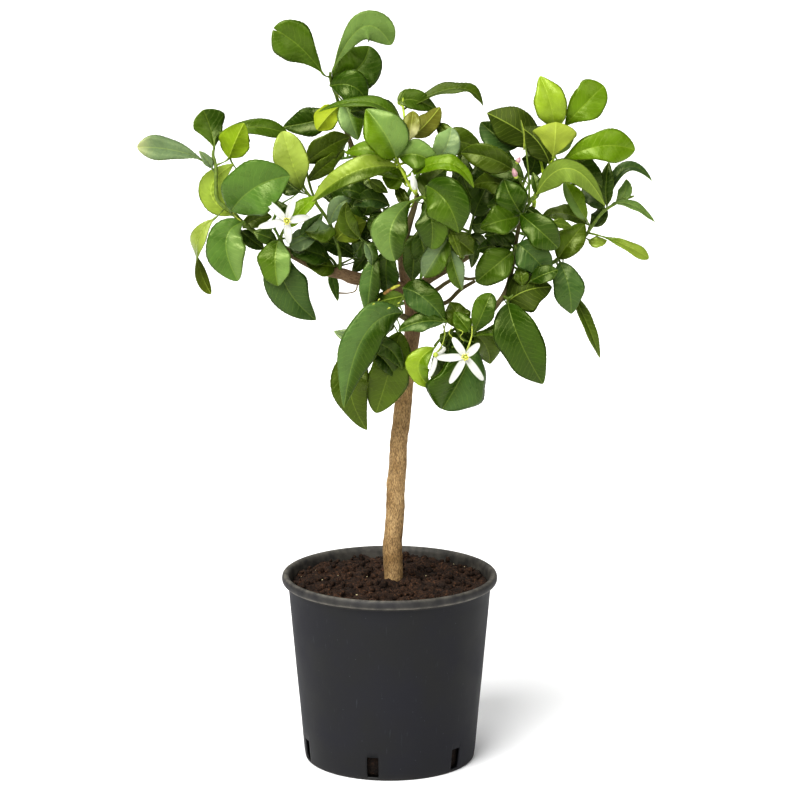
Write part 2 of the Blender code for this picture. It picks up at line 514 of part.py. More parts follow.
# Closed buds: base, tip, width in mm, node name and the shoot that carries each
BUDS = {
    "bud_white": ((415, 191, 112), (412, 172, 122), 7.0, "shoot_crown"),
    "bud_pink_low": ((516, 177, 84), (513, 168, 88), 5.6, "shoot_right_front"),
    "bud_pink_high": ((517, 163, 70), (520, 157, 70), 5.0, "shoot_right_front"),
}


def sight(x, y, near):
    """The point that the eye sees at pixel x, y, near mm before the upright plane through the trunk."""
    right = np.array([1.0, 0.0, 0.0])
    ahead = np.array([0.0, math.cos(EYE_PITCH), math.sin(EYE_PITCH)])
    up = np.array([0.0, -math.sin(EYE_PITCH), math.cos(EYE_PITCH)])
    ray = right * (x - EYE_CENTRE) / EYE_FOCAL - up * (y - EYE_CENTRE) / EYE_FOCAL + ahead
    return EYE + ray * (-near * MM - EYE[1]) / ray[1]


def unit(vector):
    """The vector at length one."""
    return vector / np.linalg.norm(vector)


def smooth(points, pieces):
    """A Catmull-Rom curve through rows of numbers, with pieces steps between each two of them."""
    rows = np.array(points, float)
    padded = np.vstack([2 * rows[0] - rows[1], rows, 2 * rows[-1] - rows[-2]])
    path = [rows[0]]
    for i in range(len(rows) - 1):
        a, b, c, d = padded[i : i + 4]
        for t in np.linspace(0, 1, pieces + 1)[1:]:
            path.append(0.5 * (2 * b + (c - a) * t + (2 * a - 5 * b + 4 * c - d) * t**2
                               + (3 * b - a - 3 * c + d) * t**3))
    return np.array(path)


def limb_rows(points, pieces):
    """Rows (X, Y, Z, radius) in metres of a limb or stem that is written in pixels."""
    return smooth([(*sight(x, y, near), radius * MM) for x, y, near, radius in points], pieces)


def nearest_on(rows, point, inset=0.0):
    """The place on a path of rows nearest to a point, the radius there and the path's direction.

    With an inset, the place keeps that far from both ends of the path.
    """
    best = None
    if inset:
        rows = rows.copy()
        rows[0] += (rows[1] - rows[0]) * min(inset / np.linalg.norm((rows[1] - rows[0])[:3]), 0.9)
        rows[-1] += (rows[-2] - rows[-1]) * min(inset / np.linalg.norm((rows[-2] - rows[-1])[:3]), 0.9)
    for a, b in zip(rows[:-1], rows[1:]):
        run = b[:3] - a[:3]
        share = float(np.clip(np.dot(point - a[:3], run) / np.dot(run, run), 0, 1))
        spot = a + share * (b - a)
        away = np.linalg.norm(point - spot[:3])
        if best is None or away < best[0]:
            best = (away, spot, unit(run))
    return best[1][:3], best[1][3], best[2]


def material(name, colour, roughness, metallic=0.0):
    """A Principled material of one colour."""
    made = bpy.data.materials.new(name)
    made.use_nodes = True
    shader = made.node_tree.nodes["Principled BSDF"]
    shader.inputs["Base Color"].default_value = (*colour, 1.0)
    shader.inputs["Roughness"].default_value = roughness
    shader.inputs["Metallic"].default_value = metallic
    made.diffuse_color = (*colour, 1.0)
    return made


def mesh_object(name, points, faces, home):
    """An object with a mesh of these points and faces, linked to a collection."""
    mesh = bpy.data.meshes.new(name)
    mesh.from_pydata([tuple(map(float, p)) for p in points], [], faces)
    mesh.update()
    made = bpy.data.objects.new(name, mesh)
    home.objects.link(made)
    return made


def tube(name, rows, home, sides=6):
    """A tube with filled caps along rows of (X, Y, Z, radius), made as a curve and turned into a mesh."""
    curve = bpy.data.curves.new(name, "CURVE")
    curve.dimensions = "3D"
    curve.use_fill_caps = True
    curve.bevel_depth = 1.0
    curve.bevel_resolution = sides // 2 - 2
    spline = curve.splines.new("POLY")
    spline.points.add(len(rows) - 1)
    for point, row in zip(spline.points, rows):
        point.co = (*row[:3], 1.0)
        point.radius = row[3]
    guide = bpy.data.objects.new(name + "_path", curve)
    home.objects.link(guide)
    bpy.context.view_layer.update()
    mesh = bpy.data.meshes.new_from_object(guide.evaluated_get(bpy.context.evaluated_depsgraph_get()))
    made = bpy.data.objects.new(name, mesh)
    made.matrix_world = guide.matrix_world
    home.objects.link(made)
    bpy.data.objects.remove(guide)
    weld = bmesh.new()
    weld.from_mesh(mesh)
    bmesh.ops.remove_doubles(weld, verts=weld.verts, dist=0.00001)
    bmesh.ops.recalc_face_normals(weld, faces=weld.faces)
    weld.to_mesh(mesh)
    weld.free()
    return made


def blade_width(u, blunt):
    """Half the width of a blade as a share of its widest, at u from base 0 to tip 1."""
    widest = 0.60 if blunt else 0.45
    fullness = 0.62 if blunt else 0.85
    bent = u ** (math.log(0.5) / math.log(widest))
    return math.sin(math.pi * min(max(bent, 0.0), 1.0)) ** fullness


def blade_frame(leaf, u):
    """The midrib's point at u, its direction, and the directions across and out of the blade there."""
    base, via, tip = (sight(*place) for place in (leaf.base, leaf.via, leaf.tip))
    handle = 2 * via - (base + tip) / 2
    spot = (1 - u) ** 2 * base + 2 * u * (1 - u) * handle + u**2 * tip
    along = unit(2 * (1 - u) * (handle - base) + 2 * u * (tip - handle))
    across = unit(np.cross(along, spot - EYE))
    toward_eye = np.cross(along, across)
    side = -1.0 if leaf.tip[0] > leaf.base[0] else 1.0
    angle = math.radians(side * (leaf.roll + leaf.twist * u))
    across = across * math.cos(angle) + toward_eye * math.sin(angle)
    return spot, along, across, np.cross(along, across)


def loft(sections, tip):
    """Points and triangles of a solid through four-cornered sections that ends in a point."""
    points = [corner for section in sections for corner in section] + [tip]
    faces = [(0, 1, 3), (1, 2, 3)]
    for i in range(len(sections) - 1):
        at = 4 * i
        for j, k in ((0, 1), (1, 2), (2, 3), (3, 0)):
            # Both faces of one half of the blade are split from the margin to the midrib alike.
            if j % 2 == 0:
                faces += [(at + j, at + 4 + k, at + k), (at + j, at + 4 + j, at + 4 + k)]
            else:
                faces += [(at + j, at + 4 + j, at + k), (at + k, at + 4 + j, at + 4 + k)]
    last = 4 * (len(sections) - 1)
    for j, k in ((0, 1), (1, 2), (2, 3), (3, 0)):
        faces.append((last + j, len(points) - 1, last + k))
    return points, faces


def ring(spot, across, out, half, high, rise=0.0):
    """The four corners of a section: one margin, the top, the other margin, the bottom."""
    return spot + across * half + rise, spot + out * high, spot - across * half + rise, spot - out * high


def carried(vector, start, end):
    """A vector turned by the least turn that brings direction start to direction end."""
    turn = Vector(start).rotation_difference(Vector(end))
    return np.array(turn @ Vector(vector))


def leaf_object(name, leaf, stem_rows, home):
    """One leaf: a stalk from inside the stem that carries it, and a thin blade that lifts at its margins."""
    base, along, across, out = blade_frame(leaf, 0.0)
    root, _, _ = nearest_on(stem_rows, base - along * STALK_SLANT, STALK_INSET)
    stalk = unit(base - root)
    lift = -1.0 if leaf.under else 1.0
    thick = STALK_RADIUS * MM
    if np.dot(stalk, along) > SHARPEST_STALK:
        half_way = unit(stalk + along)
        sections = [ring(root, carried(across, along, stalk), carried(out, along, stalk), thick, thick),
                    ring(base, carried(across, along, half_way), carried(out, along, half_way), thick, thick)]
    else:
        # A stalk that bends back on itself is a small tube of its own.
        elbow = np.array([(*root, thick), (*(base + along * 4 * thick), thick)])
        tube(name + "_stalk", elbow, home, STEM_SIDES)
        sections = [ring(base, across, out, thick, thick)]
    for u in BLUNT_STEPS if leaf.blunt else POINTED_STEPS:
        spot, _, across, out = blade_frame(leaf, u)
        half = leaf.wide / 2 * blade_width(u, leaf.blunt) * MM
        rise = out * lift * FOLD * (half - thick)
        sections.append(ring(spot, across, out, half, BLADE_THICK / 2 * MM, rise))
    points, faces = loft(sections, sight(*leaf.tip))
    return mesh_object(name, points, faces, home)


def fuse(target, tools):
    """Joins every object of a collection into the target with one Boolean union, then removes them."""
    union = target.modifiers.new("union", "BOOLEAN")
    union.operation = "UNION"
    union.operand_type = "COLLECTION"
    union.collection = tools
    union.solver = "EXACT"
    bpy.context.view_layer.update()
    joined = bpy.data.meshes.new_from_object(
        target.evaluated_get(bpy.context.evaluated_depsgraph_get()))
    target.modifiers.clear()
    target.data = joined
    drop_scraps(joined)
    for tool in list(tools.objects):
        bpy.data.objects.remove(tool)
    bpy.data.collections.remove(tools)


def drop_scraps(mesh):
    """Removes the loose crumbs that a union can leave where two blades just touch."""
    shape = bmesh.new()
    shape.from_mesh(mesh)
    left = set(shape.verts)
    bodies = []
    while left:
        body, edge = set(), [left.pop()]
        while edge:
            corner = edge.pop()
            body.add(corner)
            for line in corner.link_edges:
                other = line.other_vert(corner)
                if other in left:
                    left.remove(other)
                    edge.append(other)
        bodies.append(body)
    for body in bodies:
        sides = {side for corner in body for side in corner.link_faces}
        volume = sum(side.verts[0].co.dot(side.normal) * side.calc_area() for side in sides) / 3
        if abs(volume) < CRUMB:
            bmesh.ops.delete(shape, geom=list(body), context="VERTS")
    shape.to_mesh(mesh)
    shape.free()


def tool_collection(name):
    """A new collection for the pieces of one Boolean."""
    made = bpy.data.collections.new(name)
    bpy.context.scene.collection.children.link(made)
    return made


def seat_rows(stem, limb, at_end):
    """A stem's rows with its first point set a small gap off the limb's end or side."""
    rows = limb_rows(stem, 1)
    if at_end:
        end, before = limb[-1][:3], limb[-2][:3]
        heading = unit(end - before)
        rows[0][:3] = end + heading * JOINT_GAP
        rows[1][:3] = rows[0][:3] + heading * np.linalg.norm(rows[1][:3] - rows[0][:3])
        return rows
    spot, radius, direction = nearest_on(limb, rows[0][:3])
    ahead = rows[1][:3] - spot
    square = unit(ahead - direction * np.dot(ahead, direction))
    rows[0][:3] = spot + square * (radius + JOINT_GAP)
    elbow = rows[0].copy()
    elbow[:3] += square * 2.5 * elbow[3]
    return np.vstack([rows[0], elbow, rows[1:]])


def build_limbs(home, finish):
    """Trunk and main branches, one body of wood. Returns each limb's rows."""
    foot = sight(*TRUNK_FOOT)
    trunk = limb_rows(LIMBS["trunk"], 1)
    below = [(TRUNK_X * MM, 0.0, HOLE_BOTTOM * MM + JOINT_GAP, TRUNK_END_RADIUS * MM),
             (TRUNK_X * MM, 0.0, (SOIL_TOP - TRUNK_BURIED) * MM, TRUNK_FOOT_RADIUS * MM),
             (foot[0], 0.0, foot[2], TRUNK_FOOT_RADIUS * MM)]
    rows = {name: limb_rows(points, 1) for name, points in LIMBS.items()}
    rows["trunk"] = np.vstack([below, trunk])
    wood = tube("trunk_and_branches", rows["trunk"], home, TRUNK_SIDES)
    tools = tool_collection("limbs")
    for name, path in rows.items():
        if name != "trunk":
            tube(name, path, tools)
    fuse(wood, tools)
    wood.data.materials.clear()
    wood.data.materials.append(finish)
    return rows


def build_shoot(name, shoot, limbs, home, finish):
    """One leafy shoot, its stems, leaves and flower stalks fused into one body."""
    rows = seat_rows(shoot.stems[0], limbs[shoot.limb], shoot.at_end)
    stem = tube(name, rows, home, STEM_SIDES)
    tools = tool_collection(name + "_leaves")
    paths = [rows]
    for i, side in enumerate(shoot.stems[1:]):
        path = limb_rows(side, 1)
        path[0][:3] = nearest_on(rows, path[0][:3], STALK_INSET)[0]
        tube(f"{name}_stem_{i}", path, tools, STEM_SIDES)
        paths.append(path)
    for i, leaf in enumerate(shoot.leaves):
        middle = sight(*leaf.base)
        gaps = [np.linalg.norm(nearest_on(path, middle, STALK_INSET)[0] - middle) for path in paths]
        near = paths[gaps.index(min(gaps))]
        leaf_object(f"{name}_leaf_{i}", leaf, near, tools)
    for bloom_name, bloom in BLOOMS.items():
        if bloom.shoot == name:
            add_pedicel(f"{bloom_name}_stalk", bloom, tools)
    for bud_name, (base, tip, wide, carrier) in BUDS.items():
        if carrier == name:
            add_bud_stalk(f"{bud_name}_stalk", base, tip, paths, tools)
    fuse(stem, tools)
    stem.data.materials.clear()
    stem.data.materials.append(finish)


def bloom_axis(bloom):
    """The middle of a flower and the direction it faces."""
    return sight(*bloom.middle), unit(np.array(bloom.facing))


def add_pedicel(name, bloom, tools):
    """A flower's stalk, from its shoot to a small gap behind the flower."""
    middle, facing = bloom_axis(bloom)
    end = middle - facing * (HUB_HALF * MM + JOINT_GAP)
    root = sight(*bloom.root)
    bend = end - facing * PEDICEL_BEND * MM
    rows = [(*root, PEDICEL_RADIUS * MM), (*((root + bend) / 2), PEDICEL_RADIUS * MM),
            (*bend, 1.3 * PEDICEL_RADIUS * MM), (*end, 2.2 * PEDICEL_RADIUS * MM)]
    tube(name, np.array(rows), tools, STEM_SIDES)


def add_bud_stalk(name, base, tip, paths, tools):
    """A bud's stalk, from the nearest stem to a small gap below the bud."""
    foot, top = sight(*base), sight(*tip)
    heading = unit(top - foot)
    end = foot - heading * JOINT_GAP
    roots = [nearest_on(path, end, STALK_INSET)[0] for path in paths]
    root = min(roots, key=lambda spot: np.linalg.norm(spot - end))
    bend = end - heading * BUD_STALK_BEND * MM
    thick = BUD_STALK_RADIUS * MM
    rows = [(*root, thick), (*bend, 1.2 * thick), (*end, 2 * thick)]
    tube(name, np.array(rows), tools, STEM_SIDES)


def petal_width(u):
    """Half the width of a petal as a share of its widest, at u from the hub 0 to the tip 1."""
    if u == 0.0:
        return PETAL_FOOT
    return math.sin(math.pi * min(u * 0.82 + 0.12, 1.0)) ** 0.7


def build_bloom(name, bloom, home, white, yellow):
    """One flower: five white petals on a small hub, and its yellow middle as a piece of its own."""
    middle, facing = bloom_axis(bloom)
    hub = disc(f"{name}_petals", middle, facing, HUB_RADIUS * MM, HUB_HALF * MM, home, HUB_SIDES)
    tools = tool_collection(name + "_parts")
    for i, place in enumerate(bloom.tips):
        tip = sight(*place)
        flat = tip - middle
        along = unit(flat - facing * np.dot(flat, facing))
        across = np.cross(along, facing)
        sections = []
        for u in PETAL_STEPS:
            arch = facing * PETAL_ARCH * MM * math.sin(math.pi * u)
            spot = middle + (tip - middle) * u + along * PETAL_START * MM + arch
            half = PETAL_WIDE / 2 * MM * petal_width(u)
            deep = facing * PETAL_THICK / 2 * MM
            rise = facing * PETAL_FOLD * half
            left, right = spot + across * half + rise, spot - across * half + rise
            sections.append((left, spot + deep, right, spot - deep))
        points, faces = loft(sections, tip)
        mesh_object(f"{name}_petal_{i}", points, faces, tools)
    fuse(hub, tools)
    hub.data.materials.clear()
    hub.data.materials.append(white)
    top = middle + facing * ((HUB_HALF + HEART_HALF) * MM + 1.4 * JOINT_GAP)
    heart = disc(f"{name}_middle", top, facing, HEART_RADIUS * MM, HEART_HALF * MM, home, HEART_SIDES)
    heart.data.materials.append(yellow)


def disc(name, middle, facing, radius, half, home, sides):
    """A short cylinder about a point, with its axis along facing."""
    shape = bmesh.new()
    bmesh.ops.create_cone(shape, cap_ends=True, cap_tris=True, segments=sides, radius1=radius, radius2=radius,
                          depth=2 * half)
    turn = Vector((0, 0, 1)).rotation_difference(Vector(facing)).to_matrix().to_4x4()
    bmesh.ops.transform(shape, matrix=turn, verts=shape.verts)
    bmesh.ops.translate(shape, vec=Vector(middle), verts=shape.verts)
    mesh = bpy.data.meshes.new(name)
    shape.to_mesh(mesh)
    shape.free()
    made = bpy.data.objects.new(name, mesh)
    home.objects.link(made)
    return made


def build_bud(name, base, tip, wide, home, finish):
    """A closed bud: an egg between its base and its tip."""
    foot, top = sight(*base), sight(*tip)
    heading = unit(top - foot)
    shape = bmesh.new()
    bmesh.ops.create_uvsphere(shape, u_segments=8, v_segments=6, radius=0.5)
    for corner in shape.verts:
        swell = 1.0 - 0.35 * corner.co.z
        corner.co.x *= wide * MM * swell
        corner.co.y *= wide * MM * swell
        corner.co.z *= np.linalg.norm(top - foot)
    turn = Vector((0, 0, 1)).rotation_difference(Vector(heading)).to_matrix().to_4x4()
    bmesh.ops.transform(shape, matrix=turn, verts=shape.verts)
    bmesh.ops.translate(shape, vec=Vector((foot + top) / 2), verts=shape.verts)
    mesh = bpy.data.meshes.new(name)
    shape.to_mesh(mesh)
    shape.free()
    made = bpy.data.objects.new(name, mesh)
    home.objects.link(made)
    made.data.materials.append(finish)


def hidden_leaf(leaf, near, number):
    """A leaf further back on the same lines of sight, a little smaller, tipped its own way."""
    middle = np.array(leaf.via[:2], float)
    swing = BACK_SWING * math.sin(2.4 * number + 0.6)
    places = []
    for share, place in ((-1, leaf.base), (0, leaf.via), (1, leaf.tip)):
        x, y = middle + BACK_LENGTH * (np.array(place[:2], float) - middle)
        places.append((float(x), float(y), near + share * swing))
    roll = BACK_ROLL * math.sin(1.7 * number)
    return Leaf(*places, leaf.wide * BACK_WIDTH, roll, 0.0, leaf.blunt, number % 2 == 0)


def facing_away(back):
    """A shoot on the far side, each leaf turned end for end where that brings its base nearer to a stem."""
    paths = [limb_rows(stem, 1) for stem in back.stems]
    leaves = []
    for number, (front, index, near) in enumerate(back.behind):
        leaf = hidden_leaf(SHOOTS[front].leaves[index], near, number)
        ends = [min(np.linalg.norm(nearest_on(path, sight(*place))[0] - sight(*place)) for path in paths)
                for place in (leaf.base, leaf.tip)]
        if ends[1] < ends[0]:
            leaf = leaf._replace(base=leaf.tip, tip=leaf.base)
        leaves.append(leaf)
    return Shoot(back.limb, back.at_end, back.stems, leaves)


def build_pot(home, finish):
    """The pot: one turned wall with a rolled rim and a flat base, and six slots low in the wall."""
    wall_top = POT_RIM_RADIUS - BEAD_OUT
    profile = [
        (0.0, POT_FLOOR), (POT_BASE_RADIUS - POT_WALL - 1.0, POT_FLOOR),
        (POT_BASE_RADIUS - POT_WALL + 0.6, POT_FLOOR + 3.0),
        (wall_top - POT_WALL, POT_HEIGHT - BEAD_HEIGHT), (wall_top - POT_WALL + 0.6, POT_HEIGHT - 2.6),
        (wall_top + 0.8, POT_HEIGHT - 0.5), (wall_top + 2.6, POT_HEIGHT),
        (POT_RIM_RADIUS - 1.2, POT_HEIGHT - 1.2), (POT_RIM_RADIUS, POT_HEIGHT - 4.0),
        (POT_RIM_RADIUS - 0.4, POT_HEIGHT - 8.2), (POT_RIM_RADIUS - 2.4, POT_HEIGHT - BEAD_HEIGHT),
        (wall_top + 0.9, POT_HEIGHT - BEAD_HEIGHT - 0.4), (wall_top - 0.4, POT_HEIGHT - BEAD_HEIGHT - 3.4),
        (POT_BASE_RADIUS + 1.0, 8.0), (POT_BASE_RADIUS, 2.0), (POT_BASE_RADIUS - 1.6, 0.0), (0.0, 0.0),
    ]
    points = [(x * MM, 0.0, z * MM) for x, z in profile]
    mesh = bpy.data.meshes.new("pot")
    mesh.from_pydata(points, [(i, i + 1) for i in range(len(points) - 1)], [])
    pot = bpy.data.objects.new("pot", mesh)
    home.objects.link(pot)
    turn = pot.modifiers.new("turn", "SCREW")
    turn.steps = POT_STEPS
    turn.render_steps = POT_STEPS
    turn.use_merge_vertices = True
    turn.merge_threshold = 0.00001
    cutters = tool_collection("pot_slots")
    for i in range(SLOT_COUNT):
        angle = math.radians(SLOT_TURN + 360.0 / SLOT_COUNT * i)
        shape = bmesh.new()
        bmesh.ops.create_cube(shape, size=1.0)
        size = Vector((SLOT_WIDTH, SLOT_DEPTH, SLOT_TOP - SLOT_BOTTOM)) * MM
        bmesh.ops.scale(shape, vec=size, verts=shape.verts)
        cutter = bpy.data.meshes.new(f"slot_{i}")
        shape.to_mesh(cutter)
        shape.free()
        made = bpy.data.objects.new(f"slot_{i}", cutter)
        reach = POT_BASE_RADIUS * MM
        made.location = (reach * math.sin(angle), -reach * math.cos(angle), (SLOT_TOP + SLOT_BOTTOM) / 2 * MM)
        made.rotation_euler = (0.0, 0.0, angle)
        made.hide_render = True
        made.display_type = "WIRE"
        cutters.objects.link(made)
    cut = pot.modifiers.new("slots", "BOOLEAN")
    cut.operation = "DIFFERENCE"
    cut.operand_type = "COLLECTION"
    cut.collection = cutters
    cut.solver = "EXACT"
    pot.data.materials.append(finish)


def soil_height(x, y):
    """How high the soil lies at a place, in millimetres: low lumps, and a dip by the wall."""
    lumps = math.sin(0.105 * x + 1.3) * math.sin(0.12 * y + 0.4) + 0.6 * math.sin(0.23 * x - 0.17 * y)
    away = math.hypot(x, y) / POT_RIM_RADIUS
    return SOIL_TOP + SOIL_LUMP * lumps - 3.0 * away**4


def build_soil(home, finish):
    """The soil: a plug that fills the pot up to its lumpy top, with a plain hole for the trunk."""
    clear = JOINT_GAP / MM
    foot = POT_BASE_RADIUS - POT_WALL
    top = POT_RIM_RADIUS - BEAD_OUT - POT_WALL
    slope = (top - foot) / (POT_HEIGHT - BEAD_HEIGHT - POT_FLOOR)
    floor = POT_FLOOR + clear

    def wall_radius(z):
        return foot - SOIL_WALL_IN + slope * (z - POT_FLOOR) - clear

    points = [(0.0, 0.0, floor * MM)]
    levels = [(floor, wall_radius(floor) - SOIL_FOOT_IN)] + [(z, wall_radius(z)) for z in SOIL_LEVELS]
    for z, radius in levels:
        for i in range(SOIL_SECTORS):
            angle = 2 * math.pi * i / SOIL_SECTORS
            points.append((radius * math.cos(angle) * MM, radius * math.sin(angle) * MM, z * MM))
    rim = wall_radius(SOIL_TOP - 6.0)
    for band in range(SOIL_RINGS, 0, -1):
        for i in range(SOIL_SECTORS):
            angle = 2 * math.pi * i / SOIL_SECTORS
            radius = rim * band / SOIL_RINGS
            x, y = radius * math.cos(angle), radius * math.sin(angle)
            points.append((x * MM, y * MM, soil_height(x, y) * MM))
    points.append((0.0, 0.0, soil_height(0.0, 0.0) * MM))
    count = SOIL_SECTORS
    faces = [(0, 1 + (i + 1) % count, 1 + i) for i in range(count)]
    bands = len(levels) + SOIL_RINGS - 1
    for band in range(bands):
        low, high = 1 + band * count, 1 + (band + 1) * count
        for i in range(count):
            j = (i + 1) % count
            faces += [(low + i, low + j, high + j), (low + i, high + j, high + i)]
    last = 1 + bands * count
    faces += [(last + i, last + (i + 1) % count, len(points) - 1) for i in range(count)]
    soil = mesh_object("soil", points, faces, home)
    tools = tool_collection("soil_hole")
    depth = (SOIL_TOP + 30.0 - HOLE_BOTTOM) * MM
    hole = disc("trunk_hole", (TRUNK_X * MM, 0.0, HOLE_BOTTOM * MM + depth / 2), (0, 0, 1), HOLE_RADIUS * MM,
                depth / 2, tools, HOLE_SIDES)
    hole.hide_render = True
    hole.display_type = "WIRE"
    cut = soil.modifiers.new("hole", "BOOLEAN")
    cut.operation = "DIFFERENCE"
    cut.object = hole
    cut.solver = "EXACT"
    soil.data.materials.append(finish)


def main():
    """Clears the scene and builds the tree in its pot."""
    for old in list(bpy.data.objects):
        bpy.data.objects.remove(old)
    home = bpy.data.collections.new(OBJECT_NAME)
    bpy.context.scene.collection.children.link(home)
    finish = {name: material(name, colour, roughness) for name, (colour, roughness) in FINISHES.items()}
    build_pot(home, finish["dark_grey_plastic"])
    build_soil(home, finish["dark_peat"])
    limbs = build_limbs(home, finish["tan_bark"])
    for name, shoot in SHOOTS.items():
        build_shoot(name, shoot, limbs, home, finish["citrus_leaf"])
    for name, back in BACK_SHOOTS.items():
        build_shoot(name, facing_away(back), limbs, home, finish["citrus_leaf"])
    for name, bloom in BLOOMS.items():
        build_bloom(name, bloom, home, finish["white_petal"], finish["yellow_anther"])
    for name, (base, tip, wide, _) in BUDS.items():
        build_bud(name, base, tip, wide, home, finish["white_petal" if name == "bud_white" else "pink_bud"])


main()
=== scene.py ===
"""The looks of a potted lemon tree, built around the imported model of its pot, wood and leafy shoots.

Metres, +Z up. The layout of the crown is written as in the part's source: a place is (x, y, near), where x
and y are pixels of an 800 x 800 picture and near is how many millimetres the place stands before the upright
plane through the trunk. Sizes of things are real millimetres.
"""

import logging
import math
from dataclasses import dataclass, field, replace
from enum import Enum

import bpy
import numpy as np
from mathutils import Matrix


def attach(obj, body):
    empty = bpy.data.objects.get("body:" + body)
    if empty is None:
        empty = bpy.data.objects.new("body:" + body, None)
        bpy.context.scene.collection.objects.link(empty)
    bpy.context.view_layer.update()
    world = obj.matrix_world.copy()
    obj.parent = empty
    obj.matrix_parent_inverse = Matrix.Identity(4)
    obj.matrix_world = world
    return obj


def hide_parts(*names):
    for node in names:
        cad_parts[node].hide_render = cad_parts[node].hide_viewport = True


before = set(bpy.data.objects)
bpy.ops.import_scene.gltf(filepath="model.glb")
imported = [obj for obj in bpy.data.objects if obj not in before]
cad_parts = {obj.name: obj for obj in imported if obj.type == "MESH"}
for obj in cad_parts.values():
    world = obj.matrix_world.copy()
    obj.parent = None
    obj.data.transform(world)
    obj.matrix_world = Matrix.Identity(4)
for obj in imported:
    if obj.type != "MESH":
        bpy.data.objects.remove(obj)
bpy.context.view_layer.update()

LOG = logging.getLogger("lemon_tree")
MM = 0.001
ROUND = 2 * math.pi
# A leaf's side veins lie where along - LEAN across - BEND across squared is a whole number of spacings, in mm
VEIN_SPACING = 6.0
VEIN_LEAN = 0.62
VEIN_BEND = 0.012

Place = tuple[float, float, float]
Array = np.ndarray
Material = bpy.types.Material
Piece = bpy.types.Object


def linear(hex_colour: str) -> Array:
    """Turns an sRGB hex colour to linear light.

    Args:
        hex_colour: six hex digits after a hash sign.

    Returns:
        Three numbers from 0 to 1.
    """
    share = np.array([int(hex_colour[i : i + 2], 16) for i in (1, 3, 5)]) / 255
    return np.where(share <= 0.04045, share / 12.92, ((share + 0.055) / 1.055) ** 2.4)


def rgba(hex_colour: str) -> tuple[float, float, float, float]:
    """The linear colour with full opacity, as a colour socket takes it."""
    return (*(float(value) for value in linear(hex_colour)), 1.0)


@dataclass(frozen=True)
class Eye:
    """The eye that the layout was read from, which is also the camera."""

    place: Place = (0.0111, -3.3012, 1.1054)
    pitch: float = -0.21305
    focal: float = 3200.0
    centre: float = 400.0
    lens_mm: float = 144.0
    sensor_mm: float = 36.0

    def sight(self, places: list[Place] | Array | Place) -> Array:
        """The points that the eye sees at some pixels.

        A ray is the sum of the eye's right, up and forward directions, weighted by how far the pixel lies
        from the middle over the focal length. It is cut by the upright plane near mm before the trunk.

        Args:
            places: rows of (x, y, near), or one of them.

        Returns:
            The points in metres, in the same shape.
        """
        rows = np.asarray(places, float)
        right = np.array([1.0, 0.0, 0.0])
        ahead = np.array([0.0, math.cos(self.pitch), math.sin(self.pitch)])
        up = np.array([0.0, -math.sin(self.pitch), math.cos(self.pitch)])
        across = (rows[..., 0:1] - self.centre) / self.focal
        down = (rows[..., 1:2] - self.centre) / self.focal
        ray = right * across - up * down + ahead
        start = np.array(self.place)
        return start + ray * (-rows[..., 2:3] * MM - start[1]) / ray[..., 1:2]

    def ground(self, pixel: tuple[float, float], height: float) -> Array:
        """The point at some height that the eye sees at a pixel.

        Args:
            pixel: its x and y.
            height: in metres.

        Returns:
            Three numbers in metres.
        """
        start = np.array(self.place)
        ray = self.sight((*pixel, 0.0)) - start
        return start + ray * (height - start[2]) / ray[2]

    def camera(self) -> None:
        """Makes the scene's camera at the eye."""
        data = bpy.data.cameras.new("camera")
        data.lens = self.lens_mm
        data.sensor_width = self.sensor_mm
        made = bpy.data.objects.new("camera", data)
        made.location = self.place
        made.rotation_euler = (math.pi / 2 + self.pitch, 0.0, 0.0)
        bpy.context.scene.collection.objects.link(made)
        bpy.context.scene.camera = made


EYE = Eye()


def unit(vectors: Array) -> Array:
    """The vectors at length one."""
    return vectors / np.maximum(np.linalg.norm(vectors, axis=-1, keepdims=True), 1e-12)


def blend(first: Array, second: Array, share: Array | float) -> Array:
    """A mix: the first where the share is 0, the second where it is 1."""
    return first * (1 - share) + second * share


def smooth_step(values: Array | float, low: float, high: float) -> Array:
    """A soft rise from 0 at low to 1 at high."""
    share = np.clip((np.asarray(values, float) - low) / (high - low), 0.0, 1.0)
    return share * share * (3 - 2 * share)


def hump(values: Array, width: float) -> Array:
    """A soft hump about zero: e to the power of minus the square of the value over the width."""
    return np.exp(-((values / width) ** 2))


def smooth_path(rows: Array, step: float) -> Array:
    """A Catmull-Rom curve through rows of numbers whose first three are a point.

    Args:
        rows: at least two rows.
        step: the spacing of the new rows along the curve, in metres.

    Returns:
        New rows, evenly spread between each two of the given ones.
    """
    padded = np.vstack([2 * rows[0] - rows[1], rows, 2 * rows[-1] - rows[-2]])
    spans = [rows[:1]]
    for i in range(len(rows) - 1):
        a, b, c, d = padded[i : i + 4]
        count = max(1, round(float(np.linalg.norm((c - b)[:3])) / step))
        t = np.linspace(0, 1, count + 1)[1:, None]
        spans.append(0.5 * (2 * b + (c - a) * t + (2 * a - 5 * b + 4 * c - d) * t**2
                            + (3 * b - a - 3 * c + d) * t**3))
    return np.vstack(spans)


def distance_along(points: Array) -> Array:
    """How far along a path each of its points lies, in millimetres."""
    return np.concatenate([[0.0], np.cumsum(np.linalg.norm(np.diff(points, axis=0), axis=1))]) / MM


def nearest_on(path: Array, point: Array) -> Array:
    """The place on a path that is nearest to a point.

    Args:
        path: rows of (X, Y, Z, radius).
        point: three numbers.

    Returns:
        Three numbers.
    """
    start, run = path[:-1, :3], np.diff(path[:, :3], axis=0)
    reach = np.sum((point - start) * run, axis=1) / np.sum(run**2, axis=1)
    spots = start + np.clip(reach, 0, 1)[:, None] * run
    return spots[np.argmin(np.linalg.norm(spots - point, axis=1))]


def gap(path: Array, point: Array) -> float:
    """How far a point lies from a path."""
    return float(np.linalg.norm(nearest_on(path, point) - point))


